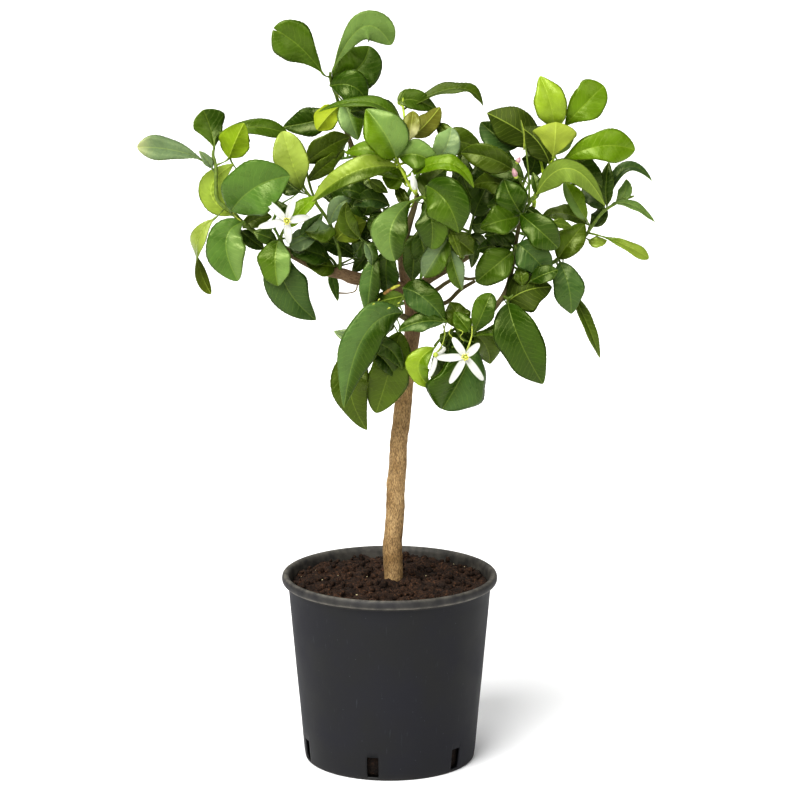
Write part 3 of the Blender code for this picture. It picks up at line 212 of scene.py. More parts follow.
def waves(seed: int, *axes: Array) -> Array:
    """Soft unevenness between about -1 and 1: a sum of six sines in seeded directions.

    Args:
        seed: picks the directions and phases.
        axes: coordinates in units of the unevenness.

    Returns:
        An array of the coordinates' shape.
    """
    draw = np.random.default_rng(seed)
    total = np.zeros(np.broadcast(*axes).shape)
    for _ in range(6):
        weights = draw.normal(size=len(axes))
        weights *= draw.uniform(0.6, 1.8) / np.linalg.norm(weights)
        total += np.sin(ROUND * sum(w * axis for w, axis in zip(weights, axes)) + draw.uniform(0, ROUND))
    return total / 3.2


def ring_faces(index: Array) -> Array:
    """The walls between rings of points, and at either end a fan about one of the two points that follow.

    Args:
        index: each point's number, (along, around).

    Returns:
        Rows of four indices, the last -1 in a triangle: the walls ring by ring, then the two fans.
    """
    around = index.shape[1]
    turned = np.roll(index, -1, axis=1)
    walls = np.stack([index[:-1], turned[:-1], turned[1:], index[1:]], axis=-1).reshape(-1, 4)
    fans = [np.stack([a, b, np.full(around, index.size + end), np.full(around, -1)], axis=1)
            for end, (a, b) in enumerate(((turned[0], index[0]), (index[-1], turned[-1])))]
    return np.vstack([walls, *fans])


def tube_rings(path: Array, sides: int) -> tuple[Array, Array]:
    """Rings of points about a path.

    Each ring lies square to the path. Its first direction is the last ring's, leaned to stay square, so the
    tube doesn't twist.

    Args:
        path: rows of (X, Y, Z, radius).
        sides: how many points go round.

    Returns:
        The rings (along, sides, 3) and the outward directions in the same shape.
    """
    heading = unit(np.gradient(path[:, :3], axis=0))
    side = unit(np.cross(heading[0], [0.31, 0.87, 0.12]))
    first = np.empty_like(heading)
    for number, turn in enumerate(heading):
        side = unit(side - turn * np.dot(side, turn))
        first[number] = side
    second = np.cross(heading, first)
    angle = (ROUND * np.arange(sides) / sides)[None, :, None]
    out = first[:, None] * np.cos(angle) + second[:, None] * np.sin(angle)
    return path[:, None, :3] + out * path[:, None, 3:], out


def both_faces(x: Array) -> tuple[Array, Array]:
    """A thin blade's columns round its two faces, and 1 or -1 for the face that each of them lies on."""
    sides = np.repeat([1.0, -1.0], [len(x), len(x) - 2])
    return np.concatenate([x, x[-2:0:-1]])[None, :], sides[None, :]


@dataclass
class Skin:
    """Closed surfaces that are gathered into one mesh, each with its own values per point."""

    name: str
    points: list[Array] = field(default_factory=list)
    faces: list[Array] = field(default_factory=list)
    slots: list[Array] = field(default_factory=list)
    values: dict[str, list[Array]] = field(default_factory=dict)
    count: int = 0

    def add(self, points: Array, faces: Array, finish: int = 0, **values: Array) -> None:
        """Adds one closed surface, turned to face outwards.

        The surface's volume is the sum over its faces of the triple product of three corners, and the faces
        are turned round where it comes out negative.

        Args:
            points: (count, 3).
            faces: rows of four indices, the last -1 in a triangle.
            finish: which of the piece's materials the surface takes.
            values: arrays of one value or three for each point.
        """
        quads = faces[faces[:, 3] >= 0]
        split = np.vstack([faces[:, :3], quads[:, [0, 2, 3]]])
        a, b, c = ((points - points.mean(axis=0))[split[:, k]] for k in range(3))
        if np.sum(np.cross(a, b) * c) < 0:
            faces = np.where(faces[:, 3:] < 0, faces[:, [2, 1, 0, 3]], faces[:, ::-1])
        self.faces.append(np.where(faces < 0, faces, faces + self.count))
        self.slots.append(np.full(len(faces), finish))
        self.points.append(points)
        self.count += len(points)
        for key, value in values.items():
            self.values.setdefault(key, []).append(value)

    def add_rings(self, rings: Array, finish: int = 0, **values: Array) -> None:
        """Adds a tube of closed rings, with a fan of triangles at each end.

        Args:
            rings: (along, around, 3).
            finish: which of the piece's materials the surface takes.
            values: arrays of (along, around) or (along, around, 3).
        """
        index = np.arange(rings.shape[0] * rings.shape[1]).reshape(rings.shape[:2])
        capped = {}
        for key, value in {"points": rings, **values}.items():
            ends = np.stack([value[0].mean(axis=0), value[-1].mean(axis=0)])
            capped[key] = np.concatenate([value.reshape(index.size, *value.shape[2:]), ends])
        self.add(faces=ring_faces(index), finish=finish, **capped)

    def add_tube(self, path: Array, sides: int, finish: int = 0) -> None:
        """Adds a round tube along a path of (X, Y, Z, radius)."""
        self.add_rings(tube_rings(path, sides)[0], finish)

    def add_stem(self, path: Array, sides: int, finish: int, colour: Array) -> None:
        """Adds a tube to a leafy piece, with the values that its blades have.

        Args:
            path: rows of (X, Y, Z, radius).
            sides: how many points go round.
            finish: which of the piece's materials the stem takes.
            colour: its linear colour, or one for each ring (along, 1, 3).
        """
        rings, _ = tube_rings(path, sides)
        plain = np.zeros((*rings.shape[:2], 1))
        blade = np.concatenate([distance_along(path[:, :3])[:, None, None] + plain,
                                np.linspace(0, 1, sides)[None, :, None] + plain, plain + 1], axis=-1)
        self.add_rings(rings, finish, tone=colour + plain, under_tone=colour + plain, blade=blade,
                       top_side=plain[..., 0])

    def build(self, finishes: list[Material]) -> Piece:
        """Makes the object, with its values as attributes.

        Args:
            finishes: the materials, in the order of the surfaces' finish numbers.

        Returns:
            The object at the origin, with its place in its mesh.
        """
        mesh = bpy.data.meshes.new(self.name)
        points, faces = np.concatenate(self.points).astype(np.float32), np.concatenate(self.faces)
        sizes = np.sum(faces >= 0, axis=1)
        mesh.vertices.add(len(points))
        mesh.vertices.foreach_set("co", points.ravel())
        mesh.loops.add(int(sizes.sum()))
        mesh.loops.foreach_set("vertex_index", faces[faces >= 0].astype(np.int32))
        mesh.polygons.add(len(faces))
        mesh.polygons.foreach_set("loop_start", (np.cumsum(sizes) - sizes).astype(np.int32))
        mesh.polygons.foreach_set("material_index", np.concatenate(self.slots).astype(np.int32))
        mesh.polygons.foreach_set("use_smooth", np.ones(len(faces), bool))
        for key, parts in self.values.items():
            values = np.concatenate(parts).astype(np.float32)
            kind, entry = ("FLOAT", "value") if values.ndim == 1 else ("FLOAT_VECTOR", "vector")
            mesh.attributes.new(key, kind, "POINT").data.foreach_set(entry, values.ravel())
        mesh.update(calc_edges=True)
        mesh.validate()
        for finish in finishes:
            mesh.materials.append(finish)
        made = bpy.data.objects.new(self.name, mesh)
        bpy.context.scene.collection.objects.link(made)
        return made


def place(piece: Piece, slot: str, *nodes: str) -> None:
    """Lets a piece ride on the tree, and hides the solids that it stands for.

    Args:
        piece: the object.
        slot: not used.
        nodes: the solids that it stands for.
    """
    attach(piece, "root")
    if nodes:
        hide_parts(*nodes)
    LOG.info("%s: %d faces", piece.name, len(piece.data.polygons))


class Graph:
    """The nodes of one material."""

    def __init__(self, name: str) -> None:
        """Makes the material with its shader and output.

        Args:
            name: what the material is.
        """
        self.material = bpy.data.materials.new(name)
        self.material.use_nodes = True
        self.tree = self.material.node_tree

    def add(self, kind: str, inputs: dict[int | str, object] | tuple = (), output: int | str = 0,
            **settings: object) -> bpy.types.NodeSocket:
        """Adds one node with its settings and links.

        Args:
            kind: the node's type name after ShaderNode.
            inputs: for each input's name or number, the socket that feeds it or its value. A tuple has those
                of the first inputs in order.
            output: which output is wanted.
            settings: the node's own properties.

        Returns:
            The wanted output.
        """
        made = self.tree.nodes.new("ShaderNode" + kind)
        for key, value in settings.items():
            setattr(made, key, value)
        for key, value in (enumerate(inputs) if isinstance(inputs, tuple) else inputs.items()):
            self._feed(made.inputs[key], value)
        return made.outputs[output]

    def _feed(self, socket: bpy.types.NodeSocket, value: object) -> None:
        """Links a socket to another or sets its value.

        Args:
            socket: the input.
            value: the output that feeds it, or its value.
        """
        if isinstance(value, bpy.types.NodeSocket):
            self.tree.links.new(value, socket)
        else:
            socket.default_value = value

    def finish(self, **sockets: object) -> Material:
        """Sets the shader's inputs.

        Args:
            sockets: for each input's name, with _ for spaces, what feeds it or its value.

        Returns:
            The material.
        """
        for key, value in sockets.items():
            self._feed(self.tree.nodes["Principled BSDF"].inputs[key.replace("_", " ")], value)
        return self.material


class Tone(Enum):
    """How the leaves of one age and place are coloured, some tones with painted highlight, painted shade and
    painted glow: the upper side, then the underside.
    """

    MID = ("#475f11", "#485e14")
    DEEP = ("#2f4803", "#5a7426")
    BRIGHT = ("#5c760b", "#8a9c34")
    # VIVID, LIME, PALE_GREEN, YELLOW and PALE are partly the young leaves' own yellow-green and partly a painted
    # glow of light shining through thin blades
    VIVID = ("#83982d", "#85973c")
    LIME = ("#7c8c38", "#8c983b")
    PALE_GREEN = ("#8a9a3c", "#6a7c33")
    YELLOW = ("#a4b030", "#919e27")
    PALE = ("#909f4a", "#c8cc7c")
    OLIVE = ("#465812", "#66741c")
    DARK_OLIVE = ("#43530a", "#364504")
    FRESH = ("#6f8c12", "#70850f")
    # SHADED_DARK is dark green painted darker for the leaves in the shade inside the crown: painted shade
    SHADED_DARK = ("#2e440d", "#36500a")
    # BLUISH_SHEEN to SOFT_SHEEN hold painted highlight: BLUISH_SHEEN is deep green with a painted bluish sheen,
    # SHEEN_GREY a grey-green that is mostly painted sheen, SHEEN and GLARE the pale shine of the wax painted in,
    # strongest in GLARE, and SATIN and SOFT_SHEEN green with a milder painted sheen
    BLUISH_SHEEN = ("#3f582b", "#5f7c46")
    SHEEN_GREY = ("#6c7e5c", "#84a05e")
    SHEEN = ("#6a8246", "#8caa54")
    GLARE = ("#7d9460", "#7d9460")
    SATIN = ("#56713c", "#5f7c46")
    SOFT_SHEEN = ("#527030", "#5c7424")
    BRONZE = ("#666620", "#666620")
    CREAM = ("#b4b182", "#c8c498")

    def top(self) -> Array:
        """The upper side's linear colour."""
        return linear(self.value[0])

    def under(self) -> Array:
        """The underside's linear colour."""
        return linear(self.value[1])


@dataclass(frozen=True)
class Leaf:
    """One leaf: where its blade starts, passes halfway and ends, its width, its colour and how it is turned."""

    base: Place
    via: Place
    tip: Place
    wide: float  # mm, across the widest place
    tone: Tone = Tone.SHADED_DARK
    roll: float = 10.0  # degrees that the blade is turned about its midrib
    twist: float = 0.0  # degrees more of roll from base to tip
    blunt: float = 0.0  # where along the midrib a blunt blade is widest, 0 for a pointed one
    under: bool = False  # the underside faces the viewer
    notch: float = 0.0  # mm that the tip is drawn in at the midrib
    crumpled: bool = False
    far_start: float = 0.35  # where along the midrib the change to the far colour begins
    far: Tone | None = None  # the colour of the half towards the tip
    # on most leaves half paints a lit or a shaded side of the folded blade, painted highlight and painted shade; on
    # a few it is that side's own colour
    half: Tone | None = None  # the colour of the side that lies left on the way from base to tip
    fold: float | None = None  # how far the margins lift for each millimetre of half width


@dataclass(frozen=True)
class Shoot:
    """A leafy shoot: the limb it grows on, its stems in rows of (x, y, near, radius in mm), and its leaves."""

    limb: str
    stems: list[list[tuple]]
    leaves: list[Leaf]


@dataclass(frozen=True)
class Bloom:
    """One open flower: its middle, its petals' tips and the way it faces."""

    middle: Place
    tips: list[Place]
    facing: Place


TRUNK_FOOT = (393.5, 577, 0)  # the place where the trunk leaves the soil
TRUNK_X = 4.2

# Leaves on the far side, set against the leaf that each one stands behind
BACK_LENGTH = 0.84
BACK_WIDTH = 0.88
BACK_BLUNT = 0.6
BACK_SWING = 26.0  # mm that one end comes nearer
BACK_ROLL = 18.0  # degrees
BACK_TONES = (Tone.DEEP, Tone.MID, Tone.BLUISH_SHEEN, Tone.MID, Tone.BRIGHT)

STEM_GREEN = "#66792c"
BACK_STEM_GREEN = "#5f7a2a"
YOUNG_STEMS = {"shoot_crown": "#9fb03a", "shoot_right_top": "#a8c030"}

# Woody limbs: (x, y, near, radius in mm)
LIMBS = {
    "trunk": [
        (392.5, 550, 0, 10.3), (393.3, 535, 0, 9.9), (395.0, 515, 0, 9.8), (395.6, 492, 0, 9.7),
        (398.0, 462, 0, 9.4), (398.4, 443, 0, 9.3), (401.0, 425, 0, 9.3), (402.8, 408, 0, 9.1),
        (406.0, 375, 0, 8.7), (409.5, 352, 0, 8.4), (412.2, 333, 0, 8.4), (412.0, 310, 0, 7.8),
        (409.5, 292, 0, 7.0), (405.5, 277, 2, 6.2), (403.0, 262, 10, 5.2), (404.0, 244, 28, 4.4),
        (409.0, 224, 55, 3.6), (415.0, 205, 84, 2.8), (417.0, 195, 98, 2.4),
    ],
    "left": [
        (410, 292, 0, 5.6), (386, 283, 14, 6.3), (366, 280, 24, 6.4), (352, 277.5, 30, 6.9),
        (343, 274, 34, 6.0), (325, 270, 42, 5.7), (300, 258, 48, 4.9), (276, 244.5, 53, 4.0),
        (255, 232, 57, 3.0),
    ],
    "right": [
        (410, 294, 0, 4.6), (426, 281, -16, 4.6), (448, 268, -30, 4.3), (474, 252, -40, 3.8),
        (500, 238, -44, 3.2), (522, 219, -42, 2.7), (534, 206, -38, 2.3),
    ],
    "front": [
        (412, 326, 0, 3.6), (428, 317, 26, 3.8), (449, 315, 56, 3.5), (470, 321, 80, 3.0),
        (486, 316, 86, 2.8), (499, 302, 84, 2.6), (507, 288, 78, 2.4), (512, 268, 72, 2.3),
        (515.5, 244, 68, 2.2), (520, 221, 64, 2.0),
    ],
    "top": [
        (404, 264, 8, 3.6), (391, 240, -14, 4.0), (375, 204, -24, 3.4), (361, 168, -26, 3.0),
        (349, 139, -22, 2.6), (341, 112, -17, 2.2),
    ],
    "back": [(407, 284, 0, 4.6), (402, 262, -45, 4.2), (398, 240, -85, 3.6), (400, 216, -118, 3.0)],
    "fork": [
        (412, 304, 0, 2.8), (436, 290, -12, 2.2), (446, 283, -16, 2.1), (457, 278, -20, 1.9),
        (471, 279, -24, 1.6), (482, 276, -28, 1.3),
    ],
    "fork_low": [
        (410, 309, 0, 2.8), (430, 306, 8, 2.5), (447, 302, 6, 2.2), (460, 290, 4, 2.0), (475, 281, 0, 1.7),
    ],
    "low": [(411, 322, 0, 3.2), (404, 317, 24, 3.2), (397, 314, 46, 2.6)],
}

SHOOTS: dict[str, Shoot] = {}
SHOOTS["shoot_top"] = Shoot("top", [
    [(340.6, 110, -17, 1.9), (336, 95, -12, 1.7), (331, 82, -5, 1.5), (330, 72, 0, 1.3)],
], [
    Leaf((323, 74, 6), (300, 47, 18), (273, 29, 22), 43, Tone.MID, 0, blunt=0.7, notch=9),
    Leaf((333, 70, 4), (363, 27, 24), (391, 45, 14), 34, Tone.SHEEN, -10, blunt=0.66),
    Leaf((332, 80, -6), (358, 68, 0), (369, 46, -12), 50, Tone.DEEP, -10, blunt=0.5, half=Tone.MID),
    Leaf((331, 86, 6), (352, 86, 16), (366, 100, 10), 34, Tone.DEEP),
    Leaf((341, 106, -2), (330, 114, 12), (317, 130, 16), 27, Tone.YELLOW, 0, under=True, blunt=0.66),
    Leaf((332, 116, -20), (310, 122, -16), (283, 127, -22), 30, Tone.DEEP),
    Leaf((343, 102, 0), (351, 120, 8), (358, 140, 8), 28, Tone.GLARE, 20, half=Tone.MID),
])
SHOOTS["shoot_left_end"] = Shoot("left", [
    [(254, 231.4, 57, 2.4), (242, 222, 61, 2.3), (231, 211, 62, 2.1), (218, 200, 60, 2.0), (216, 184, 56, 1.9),
     (216, 168, 52, 1.8), (213, 155, 48, 1.6), (214, 149, 46, 1.4)],
], [
    Leaf((211, 167, 50), (181, 152, 60), (137, 147, 66), 26, Tone.SHEEN_GREY, 60, -62, blunt=0.76, far=Tone.CREAM,
         far_start=0.8),
    Leaf((214, 149, 42), (211, 130, 32), (203, 110, 30), 34, Tone.DEEP, blunt=0.7, half=Tone.MID),
    Leaf((218, 134, 38), (252, 127, 42), (288, 134, 26), 22, Tone.MID, 30, blunt=0.66),
    Leaf((229, 158, 54), (235, 142, 62), (244, 123, 60), 34, Tone.FRESH, under=True, fold=0.5, crumpled=True),
    Leaf((231, 211, 72), (256, 187, 92), (290, 176, 86), 57, Tone.SOFT_SHEEN, -5, half=Tone.SOFT_SHEEN),
    Leaf((232, 215, 56), (211, 190, 48), (234, 164, 40), 31, Tone.VIVID, 20, under=True, crumpled=True),
    Leaf((244, 222, 72), (226, 241, 88), (238, 281, 86), 41, Tone.SOFT_SHEEN, blunt=0.6, half=Tone.SHEEN),
    Leaf((214, 219, 62), (196, 250, 62), (211, 294, 56), 29, Tone.PALE, 0, 150, blunt=0.6, far=Tone.OLIVE),
    Leaf((243, 228, 60), (257, 219, 56), (272, 217, 50), 17, Tone.OLIVE),
    Leaf((241, 231, 56), (252, 240, 52), (264, 249, 46), 18),
    Leaf((212, 168, 52), (207, 160, 54), (199, 151, 54), 10, Tone.SHEEN_GREY),
])
SHOOTS["shoot_left_low"] = Shoot("left", [
    [(286, 248, 52, 1.8), (281, 238, 66, 1.6), (284, 229, 82, 1.4)],
    [(286, 246, 56, 1.4), (280, 249, 66, 1.3), (277, 252, 68, 1.2)],
], [
    Leaf((278, 240, 74), (275, 262, 88), (278, 286, 84), 35, Tone.MID, blunt=0.5, half=Tone.SHEEN),
    Leaf((279, 252, 62), (287, 288, 74), (316, 320, 56), 41, Tone.BLUISH_SHEEN, -5),
    Leaf((290, 247, 60), (302, 240, 66), (318, 236, 60), 24, Tone.SHEEN_GREY, 20),
    Leaf((290, 227, 76), (301, 210, 78), (318, 196, 68), 20, Tone.FRESH, 30),
    Leaf((277, 241, 68), (265, 236, 74), (253, 232, 72), 16),
    Leaf((301, 236, 66), (311, 227, 62), (323, 213, 54), 16, Tone.SATIN),
    Leaf((288, 223, 72), (282, 211, 68), (276, 200, 60), 15, Tone.DEEP),
])
SHOOTS["shoot_left_under"] = Shoot("left", [
    [(338, 271, 34, 1.8), (334, 262, 28, 1.6), (326, 255, 22, 1.4), (314, 251, 18, 1.3)],
], [
    Leaf((330, 258, 44), (308, 251, 60), (290, 247, 52), 30, roll=30),
    Leaf((334, 266, 44), (322, 265, 56), (306, 262, 52), 24, Tone.DARK_OLIVE, 20),
    Leaf((356, 258, 22), (331, 243, 26), (301, 242, 22), 22, roll=25),
    Leaf((330, 266, 18), (334, 284, 18), (338, 301, 14), 11, Tone.SOFT_SHEEN, 20),
    Leaf((367, 255, 30), (360, 264, 26), (352, 271, 20), 13),
])
SHOOTS["shoot_left_up"] = Shoot("left", [
    [(340, 272, 36, 2.0), (340, 256, 46, 1.9), (336, 240, 50, 1.8), (329, 222, 52, 1.7), (318, 206, 52, 1.6),
     (306, 191, 50, 1.4), (303, 184, 49, 1.2)],
    [(318, 206, 52, 1.4), (312, 192, 40, 1.3), (308, 178, 34, 1.2), (306, 168, 31, 1.1)],
], [
    Leaf((302, 190, 54), (292, 162, 62), (283, 131, 56), 35, Tone.OLIVE, 5, blunt=0.6, crumpled=True,
         far=Tone.PALE, far_start=0.02),
    Leaf((306, 163, 31), (328, 147, 32), (350, 137, 22), 30, Tone.DARK_OLIVE, -20),
    Leaf((308, 181, 34), (326, 165, 34), (345, 150, 24), 18, Tone.DARK_OLIVE, -20),
    Leaf((300, 192, 44), (289, 184, 36), (276, 173, 28), 26),
    Leaf((330, 224, 60), (338, 206, 72), (352, 199, 70), 18, Tone.SHEEN_GREY),
    Leaf((331, 226, 56), (322, 231, 64), (305, 231, 66), 26, Tone.SHEEN_GREY, 20, half=Tone.OLIVE),
    Leaf((336, 240, 54), (350, 228, 52), (366, 222, 42), 32, Tone.OLIVE, under=True),
])
SHOOTS["shoot_crown"] = Shoot("trunk", [
    [(416.6, 193, 99, 2.2), (412, 188, 98, 2.0), (408, 183, 96, 1.8), (404, 174, 96, 1.7), (399, 165, 96, 1.6),
     (397, 156, 94, 1.5), (402, 147, 84, 1.4), (407, 139, 74, 1.3), (405, 122, 58, 1.2), (403, 106, 46, 1.1),
     (403, 97, 42, 1.0)],
    [(399, 165, 96, 1.3), (412, 160, 84, 1.2), (428, 159, 66, 1.1), (437, 157, 54, 1.0)],
], [
    Leaf((403, 136, 70), (374, 103, 66), (318, 112, 48), 24, Tone.MID, 60),
    Leaf((396, 158, 104), (385, 134, 116), (366, 109, 106), 45, Tone.SHEEN, fold=0.5, half=Tone.BRIGHT),
    Leaf((400, 119, 56), (375, 111, 52), (350, 112, 38), 28, Tone.DEEP, 20),
    Leaf((393, 160, 98), (370, 150, 104), (345, 153, 92), 22, Tone.BRIGHT, 35),
    Leaf((397, 167, 100), (353, 172, 118), (312, 202, 100), 27, Tone.LIME, 24, half=Tone.OLIVE, crumpled=True),
    Leaf((399, 157, 100), (418, 155, 110), (438, 167, 104), 29, Tone.MID, fold=0.5, half=Tone.SHEEN),
    Leaf((408, 176, 102), (448, 163, 124), (474, 188, 118), 21, Tone.BRIGHT, 40, half=Tone.BRIGHT),
    Leaf((436, 161, 60), (447, 145, 68), (451, 127, 58), 28, Tone.SHEEN_GREY, 0, crumpled=True, half=Tone.GLARE),
    Leaf((437, 159, 46), (457, 142, 42), (482, 153, 32), 31, Tone.OLIVE),
    Leaf((413, 137, 64), (428, 122, 56), (440, 107, 44), 24, Tone.BRONZE, 15, under=True),
    Leaf((408, 141, 80), (411, 127, 80), (413, 111, 72), 19, Tone.CREAM, blunt=0.6, far=Tone.BRONZE,
         half=Tone.BRONZE),
    Leaf((398, 103, 44), (414, 100, 40), (438, 111, 28), 23, Tone.MID, 20),
    Leaf((404, 109, 40), (457, 88, 26), (483, 106, 20), 22, Tone.OLIVE, 58),
    Leaf((402, 178, 86), (394, 179, 84), (382, 177, 76), 22, Tone.BRIGHT),
    Leaf((405, 184, 86), (393, 172, 80), (366, 174, 70), 18, Tone.BRIGHT, 40),
    Leaf((408, 206, 84), (402, 196, 80), (396, 186, 72), 13, Tone.DARK_OLIVE),
    Leaf((369, 180, 92), (378, 186, 90), (388, 193, 84), 12, Tone.OLIVE),
    Leaf((453, 142, 54), (445, 131, 50), (436, 124, 42), 15, Tone.OLIVE),
])
SHOOTS["shoot_front"] = Shoot("trunk", [
    [(416, 203, 90, 2.0), (423, 197, 108, 1.9), (434, 205, 120, 1.8), (445, 221, 124, 1.6), (450, 236, 118,
     1.5), (448, 247, 110, 1.3)],
    [(423, 197, 108, 1.5), (414, 200, 114, 1.4), (408, 203, 112, 1.2)],
], [
    Leaf((411, 201, 112), (391, 228, 140), (395, 261, 132), 38, Tone.SHEEN, 12, blunt=0.6, half=Tone.DEEP),
    Leaf((427, 186, 124), (447, 203, 148), (459, 233, 138), 46, Tone.MID, -10, fold=0.55, half=Tone.DEEP),
    Leaf((425, 202, 116), (432, 223, 132), (431, 249, 122), 35, roll=-10, blunt=0.6, half=Tone.MID),
    Leaf((449, 238, 112), (437, 256, 116), (424, 277, 104), 27, Tone.SHEEN_GREY, blunt=0.6, half=Tone.MID),
    Leaf((447, 240, 104), (436, 246, 98), (419, 284, 86), 20, Tone.SOFT_SHEEN, 50, half=Tone.SHEEN_GREY),
    Leaf((450, 250, 108), (455, 270, 112), (462, 290, 104), 20, Tone.MID, half=Tone.SHEEN_GREY),
    Leaf((449, 228, 128), (455, 242, 136), (461, 258, 130), 10, Tone.DARK_OLIVE, 20),
    Leaf((452, 236, 104), (463, 244, 98), (474, 254, 88), 24, Tone.DARK_OLIVE),
    Leaf((425, 198, 100), (432, 181, 92), (447, 168, 80), 26, half=Tone.OLIVE),
])
SHOOTS["shoot_inner"] = Shoot("trunk", [
    [(404, 246, 26, 2.2), (394, 246, 44, 2.0), (385, 249, 58, 1.8), (373, 247, 66, 1.6), (362, 240, 70, 1.4)],
    [(394, 246, 44, 1.6), (386, 228, 56, 1.5), (384, 210, 66, 1.3)],
], [
    Leaf((375, 254, 68), (370, 284, 74), (367, 314, 64), 22, Tone.SATIN, half=Tone.SHADED_DARK),
    Leaf((388, 250, 62), (386, 272, 60), (388, 295, 48), 28),
    Leaf((365, 243, 74), (371, 252, 78), (372, 266, 72), 16, Tone.SHEEN_GREY, 30, half=Tone.SHADED_DARK),
    Leaf((389, 205, 72), (370, 199, 82), (353, 205, 74), 20, half=Tone.BLUISH_SHEEN),
    Leaf((386, 214, 70), (377, 222, 76), (373, 236, 70), 20, Tone.DEEP, half=Tone.GLARE),
    Leaf((384, 208, 62), (366, 190, 58), (366, 172, 50), 22),
    Leaf((360, 238, 82), (347, 222, 92), (347, 202, 90), 20, Tone.OLIVE),
    Leaf((362, 241, 62), (358, 250, 54), (352, 254, 38), 18),
    Leaf((383, 208, 72), (356, 192, 76), (342, 192, 70), 22, roll=30),
])
SHOOTS["shoot_low_left"] = Shoot("low", [
    [(396.6, 313.8, 47, 2.3), (390, 313, 60, 2.0), (382, 322, 66, 1.8), (374, 336, 66, 1.6), (370, 346, 62,
     1.4)],
    [(390, 313, 60, 1.6), (396, 308, 72, 1.4), (402, 300, 78, 1.3), (405, 291, 80, 1.2)],
], [
    Leaf((402, 313, 84), (364, 336, 108), (344, 408, 96), 42, Tone.SATIN, -14, half=Tone.DEEP, fold=0.35),
    Leaf((372, 338, 66), (352, 337, 70), (334, 331, 66), 16, Tone.SHEEN_GREY),
    Leaf((369, 346, 60), (350, 384, 68), (367, 430, 56), 38, Tone.OLIVE, half=Tone.DARK_OLIVE),
    Leaf((400, 332, 62), (389, 372, 70), (376, 413, 60), 43, Tone.OLIVE, -5, blunt=0.5),
    Leaf((366, 343, 84), (388, 348, 84), (402, 369, 74), 22),
    Leaf((371, 351, 76), (385, 361, 76), (396, 378, 66), 20),
    Leaf((444, 322, 100), (420, 322, 104), (398, 331, 100), 20, Tone.DEEP, 20, half=Tone.BLUISH_SHEEN),
    Leaf((403, 288, 84), (424, 298, 98), (445, 321, 92), 33, Tone.BLUISH_SHEEN, half=Tone.DEEP),
    Leaf((404, 296, 72), (386, 300, 68), (368, 304, 58), 20, Tone.MID, 15, under=True),
    Leaf((391, 316, 52), (385, 325, 48), (372, 337, 38), 20, Tone.DARK_OLIVE),
])
SHOOTS["shoot_low_right"] = Shoot("front", [
    [(455, 317, 62, 2.0), (456, 328, 74, 1.9), (461, 337, 82, 1.8), (466, 341, 86, 1.6)],
    [(456, 328, 74, 1.5), (444, 336, 86, 1.4), (434, 346, 90, 1.2)],
    [(456, 328, 74, 1.5), (464, 328, 84, 1.4), (472, 333, 88, 1.2)],
], [
    Leaf((434, 348, 92), (418, 366, 94), (431, 388, 86), 25, Tone.VIVID, 20, half=Tone.BRIGHT),
    Leaf((475, 344, 78), (460, 379, 86), (442, 409, 78), 61, Tone.DEEP, -24, fold=0.7, half=Tone.BLUISH_SHEEN,
         blunt=0.6),
    Leaf((460, 344, 70), (450, 340, 66), (440, 334, 56), 20, Tone.BRIGHT),
    Leaf((474, 333, 98), (483, 312, 110), (491, 293, 104), 25, Tone.DEEP, 5, blunt=0.6, half=Tone.MID),
    Leaf((469, 331, 94), (462, 322, 92), (454, 312, 84), 20, Tone.MID),
    Leaf((474, 336, 94), (496, 330, 100), (516, 328, 92), 21, Tone.MID, 30, blunt=0.72),
    Leaf((474, 335, 78), (486, 346, 70), (490, 364, 58), 30, Tone.OLIVE),
    Leaf((461, 329, 88), (457, 315, 84), (450, 302, 72), 26, Tone.DARK_OLIVE),
    Leaf((448, 346, 76), (439, 362, 74), (431, 379, 66), 15),
    Leaf((460, 326, 66), (468, 338, 68), (473, 353, 64), 20, Tone.MID),
    Leaf((446, 341, 72), (454, 349, 70), (464, 358, 64), 16, Tone.SATIN),
])
SHOOTS["shoot_right_low"] = Shoot("front", [
    [(503, 296, 82, 1.9), (508, 299, 88, 1.7), (508, 304, 92, 1.5)],
    [(508, 299, 88, 1.6), (519, 291, 84, 1.5), (531, 280, 76, 1.3)],
], [
    Leaf((508, 303, 98), (520, 341, 116), (543, 384, 100), 50, roll=-8, half=Tone.DEEP),
    Leaf((507, 303, 84), (526, 291, 90), (552, 287, 78), 44, Tone.DARK_OLIVE, 20, under=True),
    Leaf((508, 304, 82), (508, 320, 76), (516, 336, 62), 24),
    Leaf((531, 281, 88), (545, 274, 94), (558, 270, 92), 20, roll=20),
    Leaf((522, 286, 86), (521, 276, 86), (518, 267, 80), 16, Tone.OLIVE),
])
